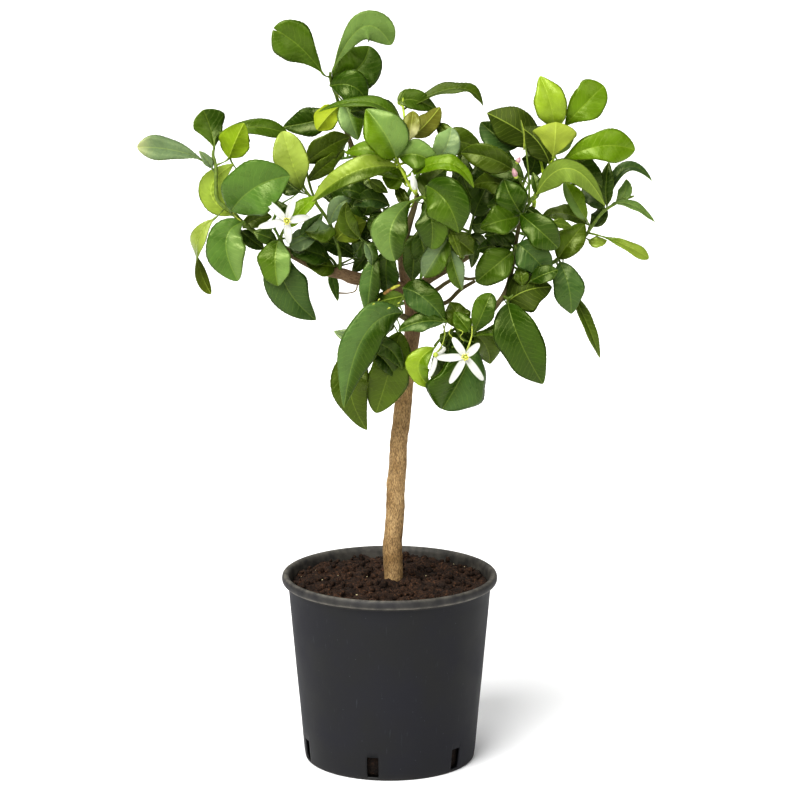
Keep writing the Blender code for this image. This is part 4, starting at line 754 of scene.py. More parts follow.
SHOOTS["shoot_right_front"] = Shoot("front", [
    [(520.4, 219, 64, 1.9), (524, 212, 66, 1.8), (529, 204, 66, 1.7), (533, 196, 66, 1.6)],
    [(529, 204, 66, 1.3), (522, 184, 68, 1.2), (512, 169, 74, 1.0)],
    [(529, 204, 66, 1.2), (529, 180, 60, 1.0), (526, 150, 54, 0.9), (521, 121, 50, 0.8)],
], [
    Leaf((512, 169, 76), (487, 157, 88), (461, 153, 78), 30, Tone.OLIVE, -15, fold=0.6, half=Tone.DARK_OLIVE),
    Leaf((522, 214, 74), (511, 197, 82), (504, 179, 72), 33, Tone.DEEP, 5),
    Leaf((519, 217, 74), (500, 221, 94), (480, 228, 92), 30, Tone.MID, 15),
    Leaf((520, 214, 76), (538, 229, 98), (558, 248, 92), 33, Tone.DEEP, 0, blunt=0.6, half=Tone.SHADED_DARK),
    Leaf((520, 218, 58), (508, 206, 50), (487, 206, 38), 30),
    Leaf((526, 206, 56), (500, 184, 44), (472, 186, 30), 26, Tone.DARK_OLIVE),
    Leaf((524, 180, 54), (500, 166, 46), (480, 160, 32), 26),
    Leaf((538, 196, 66), (536, 184, 64), (533, 172, 58), 11),
    Leaf((552, 222, 76), (562, 224, 76), (572, 227, 70), 10, Tone.OLIVE),
])
SHOOTS["shoot_right_inner"] = Shoot("front", [
    [(514, 256, 70, 1.8), (516, 250, 80, 1.6), (515, 245, 84, 1.4)],
], [
    Leaf((512, 252, 82), (494, 267, 94), (476, 282, 84), 36, Tone.MID, 5),
    Leaf((512, 247, 76), (495, 246, 78), (477, 250, 66), 22, roll=15),
    Leaf((518, 244, 80), (533, 257, 86), (552, 278, 74), 36, Tone.BLUISH_SHEEN, 0),
    Leaf((513, 244, 74), (501, 236, 74), (484, 236, 62), 24),
])
SHOOTS["shoot_right_top"] = Shoot("right", [
    [(535, 205, -37, 2.2), (535, 196, -20, 2.1), (540, 187, 8, 2.0), (544, 178, 32, 1.9), (550, 168, 48, 1.8),
     (553, 160, 54, 1.6)],
    [(544, 178, 32, 1.5), (540, 160, 28, 1.4), (530, 148, 22, 1.3), (518, 143, 14, 1.2)],
], [
    Leaf((555, 128, 60), (550, 102, 68), (540, 76, 58), 34, Tone.VIVID, 5, fold=0.45, half=Tone.VIVID),
    Leaf((564, 127, 54), (583, 106, 60), (604, 86, 46), 38, Tone.BRIGHT, 0, blunt=0.68),
    Leaf((553, 158, 66), (555, 140, 78), (556, 122, 74), 43, Tone.LIME, 0, under=True, blunt=0.7),
    Leaf((557, 166, 58), (595, 147, 74), (635, 150, 56), 34, Tone.BRIGHT, blunt=0.7),
    Leaf((537, 194, 66), (570, 169, 94), (605, 206, 82), 35, Tone.PALE_GREEN, 40, under=True),
    Leaf((541, 146, 22), (514, 127, 30), (487, 113, 16), 40, Tone.DARK_OLIVE, -5, under=True),
    Leaf((550, 164, 44), (539, 143, 44), (522, 128, 32), 32, Tone.DARK_OLIVE, -10, under=True),
    Leaf((518, 146, 10), (497, 136, 6), (481, 122, -6), 32, half=Tone.BLUISH_SHEEN),
    Leaf((560, 166, 40), (582, 171, 48), (602, 188, 46), 34, roll=20),
])
SHOOTS["shoot_right_end"] = Shoot("front", [
    [(500, 301, 84, 2.4), (511, 292, 74, 2.3), (527, 274, 66, 2.2), (545, 266, 62, 2.1), (557, 260, 60, 2.0),
     (566, 250, 56, 1.9), (584, 237, 50, 1.8), (592, 226, 46, 1.7), (603, 212, 42, 1.6), (620, 201, 36, 1.4),
     (634, 196, 30, 1.2)],
], [
    Leaf((558, 259, 66), (571, 240, 68), (585, 224, 56), 29, Tone.DARK_OLIVE, half=Tone.OLIVE),
    Leaf((588, 233, 54), (618, 242, 64), (649, 258, 56), 16, Tone.MID, 20, 20, blunt=0.8, far=Tone.LIME,
         far_start=0.3),
    Leaf((560, 262, 68), (569, 288, 82), (571, 314, 74), 33, Tone.BLUISH_SHEEN, crumpled=True),
    Leaf((571, 290, 50), (588, 326, 62), (600, 358, 54), 15, Tone.OLIVE, 30),
    Leaf((586, 219, 56), (575, 200, 62), (564, 180, 54), 20, Tone.BRIGHT, 15, half=Tone.SHEEN),
    Leaf((587, 224, 44), (563, 213, 44), (541, 218, 36), 22, Tone.OLIVE, 42),
    Leaf((604, 208, 34), (592, 196, 24), (583, 187, 10), 22, Tone.BLUISH_SHEEN),
    Leaf((607, 205, 42), (606, 185, 42), (609, 162, 34), 17),
    Leaf((604, 206, 34), (626, 168, 26), (652, 181, 12), 18, Tone.BLUISH_SHEEN, 50),
    Leaf((614, 203, 40), (634, 206, 42), (655, 222, 32), 14, Tone.SHEEN, 50),
    Leaf((616, 203, 36), (625, 192, 30), (626, 179, 20), 14, Tone.SHEEN),
    Leaf((590, 226, 40), (600, 216, 32), (598, 206, 22), 18),
    Leaf((589, 240, 54), (597, 242, 58), (607, 240, 54), 13, Tone.LIME, 20),
])
# Shoots inside the crown, whose leaves keep the dark default tone, painted shade, and show dark between the nearer
# ones
SHOOTS["shoot_core_left"] = Shoot("top", [
    [(388, 232, -16, 2.0), (378, 226, 2, 1.8), (366, 218, 14, 1.6), (354, 208, 18, 1.3), (342, 200, 16, 1.1)],
    [(378, 226, 2, 1.5), (374, 240, 10, 1.4), (368, 252, 12, 1.2)],
], [
    Leaf((366, 217, 22), (352, 216, 24), (330, 208, 16), 30, roll=15),
    Leaf((352, 207, 22), (344, 192, 24), (340, 176, 14), 26),
    Leaf((364, 215, 24), (368, 202, 28), (366, 186, 20), 26, roll=0),
    Leaf((372, 243, 18), (360, 250, 20), (356, 262, 12), 22),
    Leaf((374, 238, 14), (366, 232, 20), (352, 236, 14), 24),
    Leaf((344, 201, 12), (330, 192, 8), (318, 186, -4), 22, roll=20),
    Leaf((373, 230, 10), (388, 226, 20), (396, 240, 14), 26),
])
SHOOTS["shoot_core_mid"] = Shoot("trunk", [
    [(405, 238, 36, 2.0), (416, 236, 48, 1.8), (421, 228, 60, 1.5), (424, 218, 68, 1.2)],
], [
    Leaf((415, 235, 62), (414, 256, 66), (412, 281, 54), 24),
    Leaf((418, 230, 68), (424, 252, 70), (426, 276, 56), 26, roll=-10),
    Leaf((424, 217, 76), (436, 206, 78), (454, 200, 66), 26),
    Leaf((422, 224, 58), (442, 234, 60), (462, 232, 46), 30),
])
SHOOTS["shoot_core_right"] = Shoot("right", [
    [(462, 260, -36, 2.0), (466, 248, -14, 1.9), (470, 232, 2, 1.7), (474, 214, 8, 1.5), (478, 196, 8, 1.2)],
    [(470, 232, 2, 1.4), (456, 226, 4, 1.2), (446, 220, 0, 1.0)],
], [
    Leaf((474, 216, 14), (480, 200, 18), (488, 184, 8), 30),
    Leaf((476, 204, 14), (468, 190, 18), (462, 172, 8), 28),
    Leaf((472, 224, 8), (484, 222, 12), (494, 210, 2), 26),
    Leaf((470, 236, 8), (474, 252, 12), (471, 268, 2), 12),
    Leaf((468, 238, 0), (478, 240, -4), (484, 250, -16), 14),
    Leaf((456, 226, 10), (450, 242, 16), (454, 262, 6), 26),
    Leaf((478, 197, 12), (484, 178, 8), (480, 156, -6), 30, roll=-10),
    Leaf((476, 198, 4), (464, 180, -4), (462, 150, -18), 28),
])
SHOOTS["shoot_core_upper"] = Shoot("right", [
    [(516, 225, -43, 2.0), (518, 206, -30, 1.8), (522, 188, -24, 1.6), (528, 172, -22, 1.3)],
    [(522, 188, -24, 1.4), (504, 176, -30, 1.2)],
], [
    Leaf((528, 174, -18), (535, 160, -14), (533, 142, -24), 26),
    Leaf((504, 177, -26), (492, 164, -24), (474, 150, -36), 32),
    Leaf((506, 176, -34), (502, 160, -40), (504, 142, -52), 26),
    Leaf((520, 196, -22), (506, 200, -20), (490, 196, -30), 28),
    Leaf((518, 208, -26), (530, 222, -26), (534, 240, -36), 28),
])

# Shoots on the far side: the limb, the stems, and for each leaf the seen leaf it stands behind and its near
BACK_SHOOTS = {
    "shoot_back_mid": ("back", [
        [(401, 214, -120, 2.6), (407, 198, -140, 2.3), (414, 182, -150, 2.0), (422, 168, -150, 1.7),
         (431, 154, -142, 1.3)],
        [(414, 182, -150, 1.7), (396, 180, -150, 1.6), (376, 172, -144, 1.4), (358, 164, -134, 1.1)],
        [(414, 182, -150, 1.7), (436, 198, -160, 1.5), (456, 196, -154, 1.2)],
    ], [
        ("crown", 1, -170), ("crown", 5, -180), ("crown", 7, -150),
        ("front", 1, -185), ("front", 2, -150), ("front", 0, -165),
        ("crown", 4, -130), ("left_up", 2, -140), ("crown", 8, -130),
    ]),
    "shoot_back_top": ("top", [
        [(361, 168, -26, 2.0), (368, 152, -60, 1.8), (374, 132, -84, 1.6), (372, 112, -90, 1.4),
         (362, 92, -84, 1.1)],
        [(368, 152, -60, 1.5), (346, 158, -76, 1.3), (326, 160, -84, 1.1)],
    ], [
        ("top", 2, -90), ("top", 3, -70), ("crown", 1, -80), ("crown", 2, -105),
        ("left_up", 1, -70), ("left_up", 2, -95),
    ]),
    "shoot_back_left": ("left", [
        [(270, 241, 54, 2.0), (269, 236, 20, 1.9), (272, 224, -14, 1.7), (276, 210, -40, 1.5),
         (268, 198, -56, 1.3), (256, 190, -52, 1.1)],
        [(272, 224, -14, 1.5), (280, 240, -34, 1.3), (284, 258, -42, 1.1)],
    ], [
        ("left_end", 4, -60), ("left_end", 5, -30), ("left_up", 0, -70),
        ("left_low", 0, -60), ("left_low", 1, -40), ("left_end", 6, -20),
        ("left_end", 3, -50), ("left_under", 2, -60),
    ]),
    "shoot_back_right": ("right", [
        [(500, 238, -44, 2.0), (506, 228, -76, 1.9), (516, 212, -104, 1.7), (526, 190, -118, 1.5),
         (540, 168, -116, 1.3), (556, 154, -104, 1.1)],
        [(506, 228, -76, 1.6), (530, 236, -96, 1.4), (556, 240, -92, 1.2)],
    ], [
        ("right_top", 2, -130), ("right_top", 3, -90), ("right_top", 5, -140),
        ("right_top", 6, -85), ("right_front", 1, -140), ("right_front", 3, -110),
        ("right_inner", 2, -80), ("right_top", 7, -110), ("right_end", 2, -50),
        ("right_top", 1, -50),
    ]),
    "shoot_back_low": ("trunk", [
        [(410, 300, 0, 2.0), (408, 302, -34, 1.9), (396, 306, -56, 1.7), (380, 318, -64, 1.4),
         (370, 332, -62, 1.1)],
        [(408, 302, -34, 1.7), (428, 306, -52, 1.5), (450, 318, -56, 1.3), (466, 338, -50, 1.1)],
    ], [
        ("low_left", 0, -60), ("low_left", 2, -50), ("low_left", 3, -80),
        ("low_left", 7, -80), ("low_right", 1, -60), ("inner", 0, -70),
        ("inner", 1, -50),
    ]),
    "shoot_back_low_right": ("right", [
        [(486, 245, -42, 2.0), (490, 254, -70, 1.8), (492, 266, -86, 1.5), (488, 276, -90, 1.2)],
        [(490, 254, -70, 1.5), (512, 266, -74, 1.3), (530, 276, -66, 1.1)],
    ], [
        ("right_inner", 0, -100), ("right_inner", 1, -60), ("right_low", 1, -60),
        ("right_inner", 2, -60),
    ]),
}

BLOOMS = {
    "flower_left": Bloom((287, 221, 100), [
        (259, 227, 96), (267, 201, 98), (294, 198, 100), (309, 217, 96), (289, 243, 98),
    ], (0.0, -1.0, 0.15)),
    "flower_right": Bloom((465.5, 356.5, 124), [
        (453, 338, 120), (479, 344, 120), (483, 380, 120), (450, 383, 120), (437, 358, 119),
    ], (0.0, -1.0, 0.1)),
    "flower_small": Bloom((436, 354.5, 104), [
        (430.5, 376, 104), (445.5, 348, 106), (456, 359.5, 100), (453, 360.5, 96), (451, 361, 98),
    ], (0.35, 0.9, 0.1)),
}

# Closed buds: base, tip and width in mm
BUDS = {
    "bud_white": ((415, 191, 112), (412, 172, 122), 7.0),
    "bud_pink_low": ((516, 177, 84), (513, 168, 88), 5.6),
    "bud_pink_high": ((517, 163, 70), (520, 157, 70), 5.0),
}

def stem_path(rows: list[tuple]) -> Array:
    """Rows (X, Y, Z, radius) in metres of a limb or stem that is written in pixels."""
    table = np.array(rows, float)
    return np.hstack([EYE.sight(table[:, :3]), table[:, 3:] * MM])


def back_leaf(leaf: Leaf, near: float, number: int) -> Leaf:
    """A leaf further back on the same lines of sight, a little smaller and tipped its own way.

    Args:
        leaf: the seen leaf that it stands behind.
        near: its own distance before the upright plane, in millimetres.
        number: its place in its shoot, which sets how it tips.

    Returns:
        The hidden leaf.
    """
    middle = np.array(leaf.via[:2], float)
    swing = BACK_SWING * math.sin(2.4 * number + 0.6)
    places = []
    for share, spot in ((-1, leaf.base), (0, leaf.via), (1, leaf.tip)):
        x, y = middle + BACK_LENGTH * (np.array(spot[:2], float) - middle)
        places.append((float(x), float(y), near + share * swing))
    return Leaf(*places, leaf.wide * BACK_WIDTH, BACK_TONES[number % len(BACK_TONES)],
                BACK_ROLL * math.sin(1.7 * number), blunt=BACK_BLUNT if leaf.blunt else 0.0, under=number % 2 == 0)


def back_shoot(limb: str, stems: list[list[tuple]], behind: list[tuple]) -> Shoot:
    """A far shoot, each leaf turned end for end where that brings its base nearer to a stem.

    Args:
        limb: the limb it grows on.
        stems: rows of (x, y, near, radius in mm) for each stem.
        behind: for each leaf the seen shoot and the number of the leaf that it stands behind, and its near.

    Returns:
        The shoot.
    """
    paths = [smooth_path(stem_path(stem), 0.002) for stem in stems]
    leaves = []
    for number, (front, index, near) in enumerate(behind):
        leaf = back_leaf(SHOOTS["shoot_" + front].leaves[index], near, number)
        ends = [min(gap(path, EYE.sight(spot)) for path in paths) for spot in (leaf.base, leaf.tip)]
        leaves.append(replace(leaf, base=leaf.tip, tip=leaf.base) if ends[1] < ends[0] else leaf)
    return Shoot(limb, stems, leaves)


@dataclass(frozen=True)
class CitrusLeaf:
    """Living citrus leaf: green tissue under a waxy skin.

    The wax gives it soft bright reflections and the netted veins a fine quilting. The yellow-green glow of light
    through the thin blade is not made here but painted into the brighter tones. The underside is paler and dull.
    """

    vein_width_mm: float = 0.4
    midrib_width_mm: float = 0.7
    net_mm: float = 1.9
    margin_mm: float = 0.7
    rib_colour: str = "#b4c45a"
    margin_colour: str = "#a5b83c"
    wax_glint: str = "#e8f0b4"
    skin_roughness: float = 0.29
    under_roughness: float = 0.62
    # For each side, how strongly its side veins, midrib and margin show
    strengths: tuple = (("tone", 0.11, 0.15, 0.3), ("under_tone", 0.2, 0.42, 0.0))

    def make(self) -> Material:
        """Makes the material.

        The side veins lie where (along - lean across - bend across squared) is a whole number of
        spacings, the midrib where across is near zero, and the net between them is a cell pattern.

        Returns:
            The material.
        """
        graph = Graph("citrus_leaf_waxy")
        coords = graph.add("TexCoord", output="Object")
        blade = graph.add("Attribute", output="Vector", attribute_name="blade")
        along, across, to_margin = graph.add("SeparateXYZ", {0: blade}).node.outputs
        across = graph.add("Math", {0: across}, operation="ABSOLUTE")
        lean = graph.add("Math", (across, VEIN_BEND, VEIN_LEAN), operation="MULTIPLY_ADD")
        slant = graph.add("Math", (across, lean), operation="MULTIPLY")
        line = graph.add("Math", (along, slant), operation="SUBTRACT")
        wander = graph.add("TexNoise", {"Vector": blade, "Scale": 0.11, "Detail": 1.0}, "Fac")
        line = graph.add("Math", (wander, 5.0, line), operation="MULTIPLY_ADD")
        to_vein = graph.add("Math", (line, VEIN_SPACING / 2), operation="PINGPONG")
        vein, rib, margin = (
            graph.add("MapRange", (away, inner, outer, 1.0, 0.0), interpolation_type="SMOOTHSTEP")
            for away, inner, outer in ((to_vein, 0.0, self.vein_width_mm),
                                       (across, self.midrib_width_mm * 0.4, self.midrib_width_mm),
                                       (to_margin, 0.0, self.margin_mm)))
        mottle = graph.add("TexNoise", {"Vector": coords, "Scale": 70.0, "Detail": 2.0}, "Fac")
        patch = graph.add("MapRange", (mottle, 0.3, 0.7, 0.88, 1.12))
        sides = []
        for name, *shares in self.strengths:
            veins, ribs, edge = (graph.add("Math", (mark, share), operation="MULTIPLY")
                                 for mark, share in zip((vein, rib, margin), shares))
            lines = graph.add("Math", (veins, ribs), operation="MAXIMUM")
            colour = graph.add("Attribute", output="Vector", attribute_name=name)
            colour = graph.add("VectorMath", {0: colour, "Scale": patch}, operation="SCALE")
            for share, layer in ((lines, self.rib_colour), (edge, self.margin_colour)):
                colour = graph.add("Mix", {0: share, 6: colour, 7: rgba(layer)}, 2, data_type="RGBA")
            sides.append(colour)
        side = graph.add("Attribute", output="Fac", attribute_name="top_side")
        colour = graph.add("Mix", {0: side, 6: sides[1], 7: sides[0]}, 2, data_type="RGBA")
        rough = graph.add("MapRange", {0: side, 3: self.under_roughness, 4: self.skin_roughness})
        streak = graph.add("MapRange", (mottle, 0.35, 0.65, -0.05, 0.06))
        rough = graph.add("Math", (rough, streak), operation="ADD")
        net = graph.add("TexVoronoi", {"Vector": blade, "Scale": 1 / self.net_mm}, "Distance",
                        feature="DISTANCE_TO_EDGE", voronoi_dimensions="2D")
        net = graph.add("MapRange", (net, 0.0, 0.16, 1.0, 0.0))
        fine = graph.add("TexNoise", {"Vector": coords, "Scale": 420.0, "Detail": 2.0}, "Fac")
        relief = graph.add("Math", (net, 0.4, vein), operation="MULTIPLY_ADD")
        relief = graph.add("Math", (fine, 0.5, relief), operation="MULTIPLY_ADD")
        bump = graph.add("Bump", {"Height": relief, "Strength": 0.6, "Distance": 0.15 * MM}, invert=True)
        return graph.finish(Base_Color=colour, Roughness=rough, Normal=bump, IOR=1.5, Specular_IOR_Level=0.62,
                            Specular_Tint=rgba(self.wax_glint))


@dataclass(frozen=True)
class GreenStem:
    """Young green citrus wood: smooth, faintly ribbed along its length, with a dull wax."""

    rib_mm: float = 3.3

    def make(self) -> Material:
        """Makes the material, its green light and dark in soft streaks.

        Returns:
            The material.
        """
        graph = Graph("young_green_wood")
        tone = graph.add("Attribute", output="Vector", attribute_name="tone")
        coords = graph.add("TexCoord", output="Object")
        streak = graph.add("TexNoise", {"Vector": coords, "Scale": 1 / (self.rib_mm * MM), "Detail": 3.0}, "Fac")
        shade = graph.add("MapRange", (streak, 0.3, 0.7, 0.7, 1.25))
        colour = graph.add("VectorMath", {0: tone, "Scale": shade}, operation="SCALE")
        bump = graph.add("Bump", {"Height": streak, "Strength": 0.4, "Distance": 0.2 * MM})
        return graph.finish(Base_Color=colour, Roughness=0.5, Normal=bump)


@dataclass(frozen=True)
class CitrusBark:
    """Tan citrus bark: dry and dull, cracked lengthwise into fine fissures with paler ridges between."""

    pale: str = "#ac926a"
    tan: str = "#8c724c"
    crack: str = "#5c4630"
    young: str = "#6c6444"
    high: str = "#7d6854"
    fissure_mm: float = 1.2
    stretch: float = 0.34
    high_from: float = 0.41  # metres up, where the colour starts to darken and grey towards the leaves
    high_to: float = 0.47

    def make(self) -> Material:
        """Makes the material: noise stretched along the limb, which greys and greens on thin wood.

        Returns:
            The material.
        """
        graph = Graph("tan_citrus_bark")
        grain = graph.add("Attribute", output="Vector", attribute_name="grain")
        young = graph.add("Attribute", output="Fac", attribute_name="young")
        coords = graph.add("TexCoord", output="Object")
        scaled = graph.add("VectorMath", (grain, (self.stretch, 1.0, 1.0)), operation="MULTIPLY")
        fissure = graph.add("TexNoise", {"Vector": scaled, "Scale": 1 / self.fissure_mm, "Detail": 5.0,
                                         "Roughness": 0.62, "Distortion": 0.3}, "Fac")
        crack = graph.add("MapRange", (fissure, 0.38, 0.5, 0.62, 0.0),
                          interpolation_type="SMOOTHSTEP")
        patch = graph.add("TexNoise", {"Vector": coords, "Scale": 60.0, "Detail": 3.0}, "Fac")
        share = graph.add("MapRange", (patch, 0.35, 0.65, 0.0, 1.0))
        colour = graph.add("Mix", {0: share, 6: rgba(self.tan), 7: rgba(self.pale)}, 2, data_type="RGBA")
        fine = graph.add("TexNoise", {"Vector": scaled, "Scale": 1.3 / self.fissure_mm, "Detail": 4.0}, "Fac")
        speck = graph.add("MapRange", (fine, 0.35, 0.65, 0.62, 1.3))
        colour = graph.add("VectorMath", {0: colour, "Scale": speck}, operation="SCALE")
        level = graph.add("SeparateXYZ", {0: coords}, 2)
        above = graph.add("MapRange", (level, self.high_from, self.high_to, 0.0, 0.75))
        for share, layer in ((above, self.high), (young, self.young), (crack, self.crack)):
            colour = graph.add("Mix", {0: share, 6: colour, 7: rgba(layer)}, 2, data_type="RGBA")
        height = graph.add("Math", (fine, 0.35, fissure), operation="MULTIPLY_ADD")
        bump = graph.add("Bump", {"Height": height, "Strength": 0.7, "Distance": 0.9 * MM})
        return graph.finish(Base_Color=colour, Roughness=0.85, Normal=bump)


@dataclass(frozen=True)
class MouldedPlastic:
    """Black polypropylene, injection moulded: satin, with fine scratches and dusty specks from the nursery."""

    body: str = "#242425"
    blue: str = "#25252a"
    scuff: str = "#5d6266"
    # The pale colour of abraded plastic and dust, also used for the painted highlight along the bead's edges
    pale_wear_and_highlight: str = "#77736a"
    speck_mm: float = 10.0
    cloud_mm: float = 60.0
    scuff_mm: float = 9.0

    def make(self) -> Material:
        """Makes the material: broad clouds of grey and blue, pale specks, and a grain finer than a pixel.

        Returns:
            The material.
        """
        graph = Graph("black_polypropylene_satin")
        coords = graph.add("TexCoord", output="Object")
        cloud = graph.add("TexNoise", {"Vector": coords, "Scale": 1 / (self.cloud_mm * MM), "Detail": 3.0}, "Fac")
        share = graph.add("MapRange", (cloud, 0.38, 0.62))
        colour = graph.add("Mix", {0: share, 6: rgba(self.body), 7: rgba(self.blue)}, 2, data_type="RGBA")
        speck = graph.add("TexVoronoi", {"Vector": coords, "Scale": 1 / (self.speck_mm * MM)}, "Distance")
        dots = graph.add("MapRange", (speck, 0.03, 0.06, 0.4, 0.0))
        lengthy = graph.add("VectorMath", (coords, (1.0, 1.0, 0.12)), operation="MULTIPLY")
        scratch = graph.add("TexNoise", {"Vector": lengthy, "Scale": 420.0, "Detail": 4.0}, "Fac")
        line = graph.add("MapRange", (scratch, 0.66, 0.78, 0.0, 0.16))
        worn = graph.add("Attribute", output="Fac", attribute_name="worn")
        uneven = graph.add("TexNoise", {"Vector": coords, "Scale": 1 / (self.scuff_mm * MM), "Detail": 3.0}, "Fac")
        uneven = graph.add("MapRange", (uneven, 0.35, 0.65, 0.5, 1.2))
        worn = graph.add("Math", (worn, uneven), operation="MULTIPLY")
        # The pale mix is abraded wear and dust, and along the bead's edges also a painted highlight
        for share, layer in ((dots, self.scuff), (line, self.scuff), (worn, self.pale_wear_and_highlight)):
            colour = graph.add("Mix", {0: share, 6: colour, 7: rgba(layer)}, 2, data_type="RGBA")
        grain = graph.add("TexNoise", {"Vector": coords, "Scale": 900.0, "Detail": 2.0}, "Fac")
        rough = graph.add("MapRange", (cloud, 0.3, 0.7, 0.52, 0.66))
        bump = graph.add("Bump", {"Height": grain, "Strength": 0.25, "Distance": 0.12 * MM})
        return graph.finish(Base_Color=colour, Roughness=rough, Normal=bump, IOR=1.49, Specular_IOR_Level=0.36)


@dataclass(frozen=True)
class DampPeat:
    """Damp peat: dark brown crumbs and fibres, quite dull, with a few darker soaked hollows, and darkened lower
    down inside the pot by painted shade.
    """

    dark: str = "#1c120b"
    mid: str = "#3e2b1d"
    light: str = "#6a4c36"
    crumb_mm: float = 2.2
    hollow_mm: float = 17.0
    shade_full_below: float = 0.03  # metres up, where the painted shade inside the pot is at its darkest
    shade_none_above: float = 0.17

    def make(self) -> Material:
        """Makes the material: crumbs of three browns with a rough relief, darker in soaked hollows and, lower down
        in the pot, with painted shade.

        Returns:
            The material.
        """
        graph = Graph("damp_peat")
        coords = graph.add("TexCoord", output="Object")
        crumbs = graph.add("TexNoise", {"Vector": coords, "Scale": 1 / (self.crumb_mm * MM), "Detail": 5.0,
                                        "Roughness": 0.65}, "Fac")
        colour = rgba(self.dark)
        for start, end, layer in ((0.36, 0.55, self.mid), (0.55, 0.72, self.light)):
            share = graph.add("MapRange", (crumbs, start, end))
            colour = graph.add("Mix", {0: share, 6: colour, 7: rgba(layer)}, 2, data_type="RGBA")
        hollow = graph.add("TexNoise", {"Vector": coords, "Scale": 1 / (self.hollow_mm * MM), "Detail": 2.0}, "Fac")
        hollows_and_shade = graph.add("MapRange", (hollow, 0.38, 0.6, 0.55, 1.12))
        level = graph.add("SeparateXYZ", {0: coords}, 2)
        # Painted shade: lower down inside the pot the peat is painted darker
        pot_shade = graph.add("MapRange", (level, self.shade_full_below, self.shade_none_above, 0.35, 1.0))
        hollows_and_shade = graph.add("Math", (hollows_and_shade, pot_shade), operation="MULTIPLY")
        colour = graph.add("VectorMath", {0: colour, "Scale": hollows_and_shade}, operation="SCALE")
        bump = graph.add("Bump", {"Height": crumbs, "Strength": 0.9, "Distance": 1.6 * MM})
        return graph.finish(Base_Color=colour, Roughness=0.93, Normal=bump)


@dataclass(frozen=True)
class WaxyPetal:
    """A citrus petal: thick, white and waxy, with faint lengthwise veins, and a greener, greyer rim that is painted
    shade along its edge.
    """

    white: str = "#c8c8c2"
    vein: str = "#aeb2a2"
    # The rim colour is painted shade along the petal's edge
    rim: str = "#848c76"
    vein_mm: float = 1.5
    rim_shade_mm: float = 0.9

    def make(self) -> Material:
        """Makes the material: veins along the petal and a soft darker rim of painted shade.

        Returns:
            The material.
        """
        graph = Graph("waxy_petal")
        petal = graph.add("Attribute", output="Vector", attribute_name="petal")
        _, across, to_rim = graph.add("SeparateXYZ", {0: petal}).node.outputs
        to_vein = graph.add("Math", (across, self.vein_mm / 2), operation="PINGPONG")
        vein = graph.add("MapRange", (to_vein, 0.0, 0.3, 0.5, 0.0))
        # Painted shade: darker grey-green towards the petal's edge
        rim = graph.add("MapRange", (to_rim, 0.0, self.rim_shade_mm, 0.9, 0.0),
                        interpolation_type="SMOOTHSTEP")
        colour = rgba(self.white)
        for share, layer in ((vein, self.vein), (rim, self.rim)):
            colour = graph.add("Mix", {0: share, 6: colour, 7: rgba(layer)}, 2, data_type="RGBA")
        bump = graph.add("Bump", {"Height": vein, "Strength": 0.4, "Distance": 0.2 * MM}, invert=True)
        return graph.finish(Base_Color=colour, Roughness=0.42, Normal=bump)


@dataclass(frozen=True)
class SmallFinish:
    """A finish of one colour with a soft mottle, for the small parts."""

    name: str
    colour: str
    shade: str
    roughness: float
    mottle_mm: float
    relief_mm: float = 0.1

    def make(self) -> Material:
        """Makes the material: noise between the two colours, and the same noise as relief.

        Returns:
            The material.
        """
        graph = Graph(self.name)
        coords = graph.add("TexCoord", output="Object")
        noise = graph.add("TexNoise", {"Vector": coords, "Scale": 1 / (self.mottle_mm * MM), "Detail": 3.0}, "Fac")
        share = graph.add("MapRange", (noise, 0.35, 0.65))
        colour = graph.add("Mix", {0: share, 6: rgba(self.shade), 7: rgba(self.colour)}, 2, data_type="RGBA")
        bump = graph.add("Bump", {"Height": noise, "Strength": 0.5, "Distance": self.relief_mm * MM})
        return graph.finish(Base_Color=colour, Roughness=self.roughness, Normal=bump)


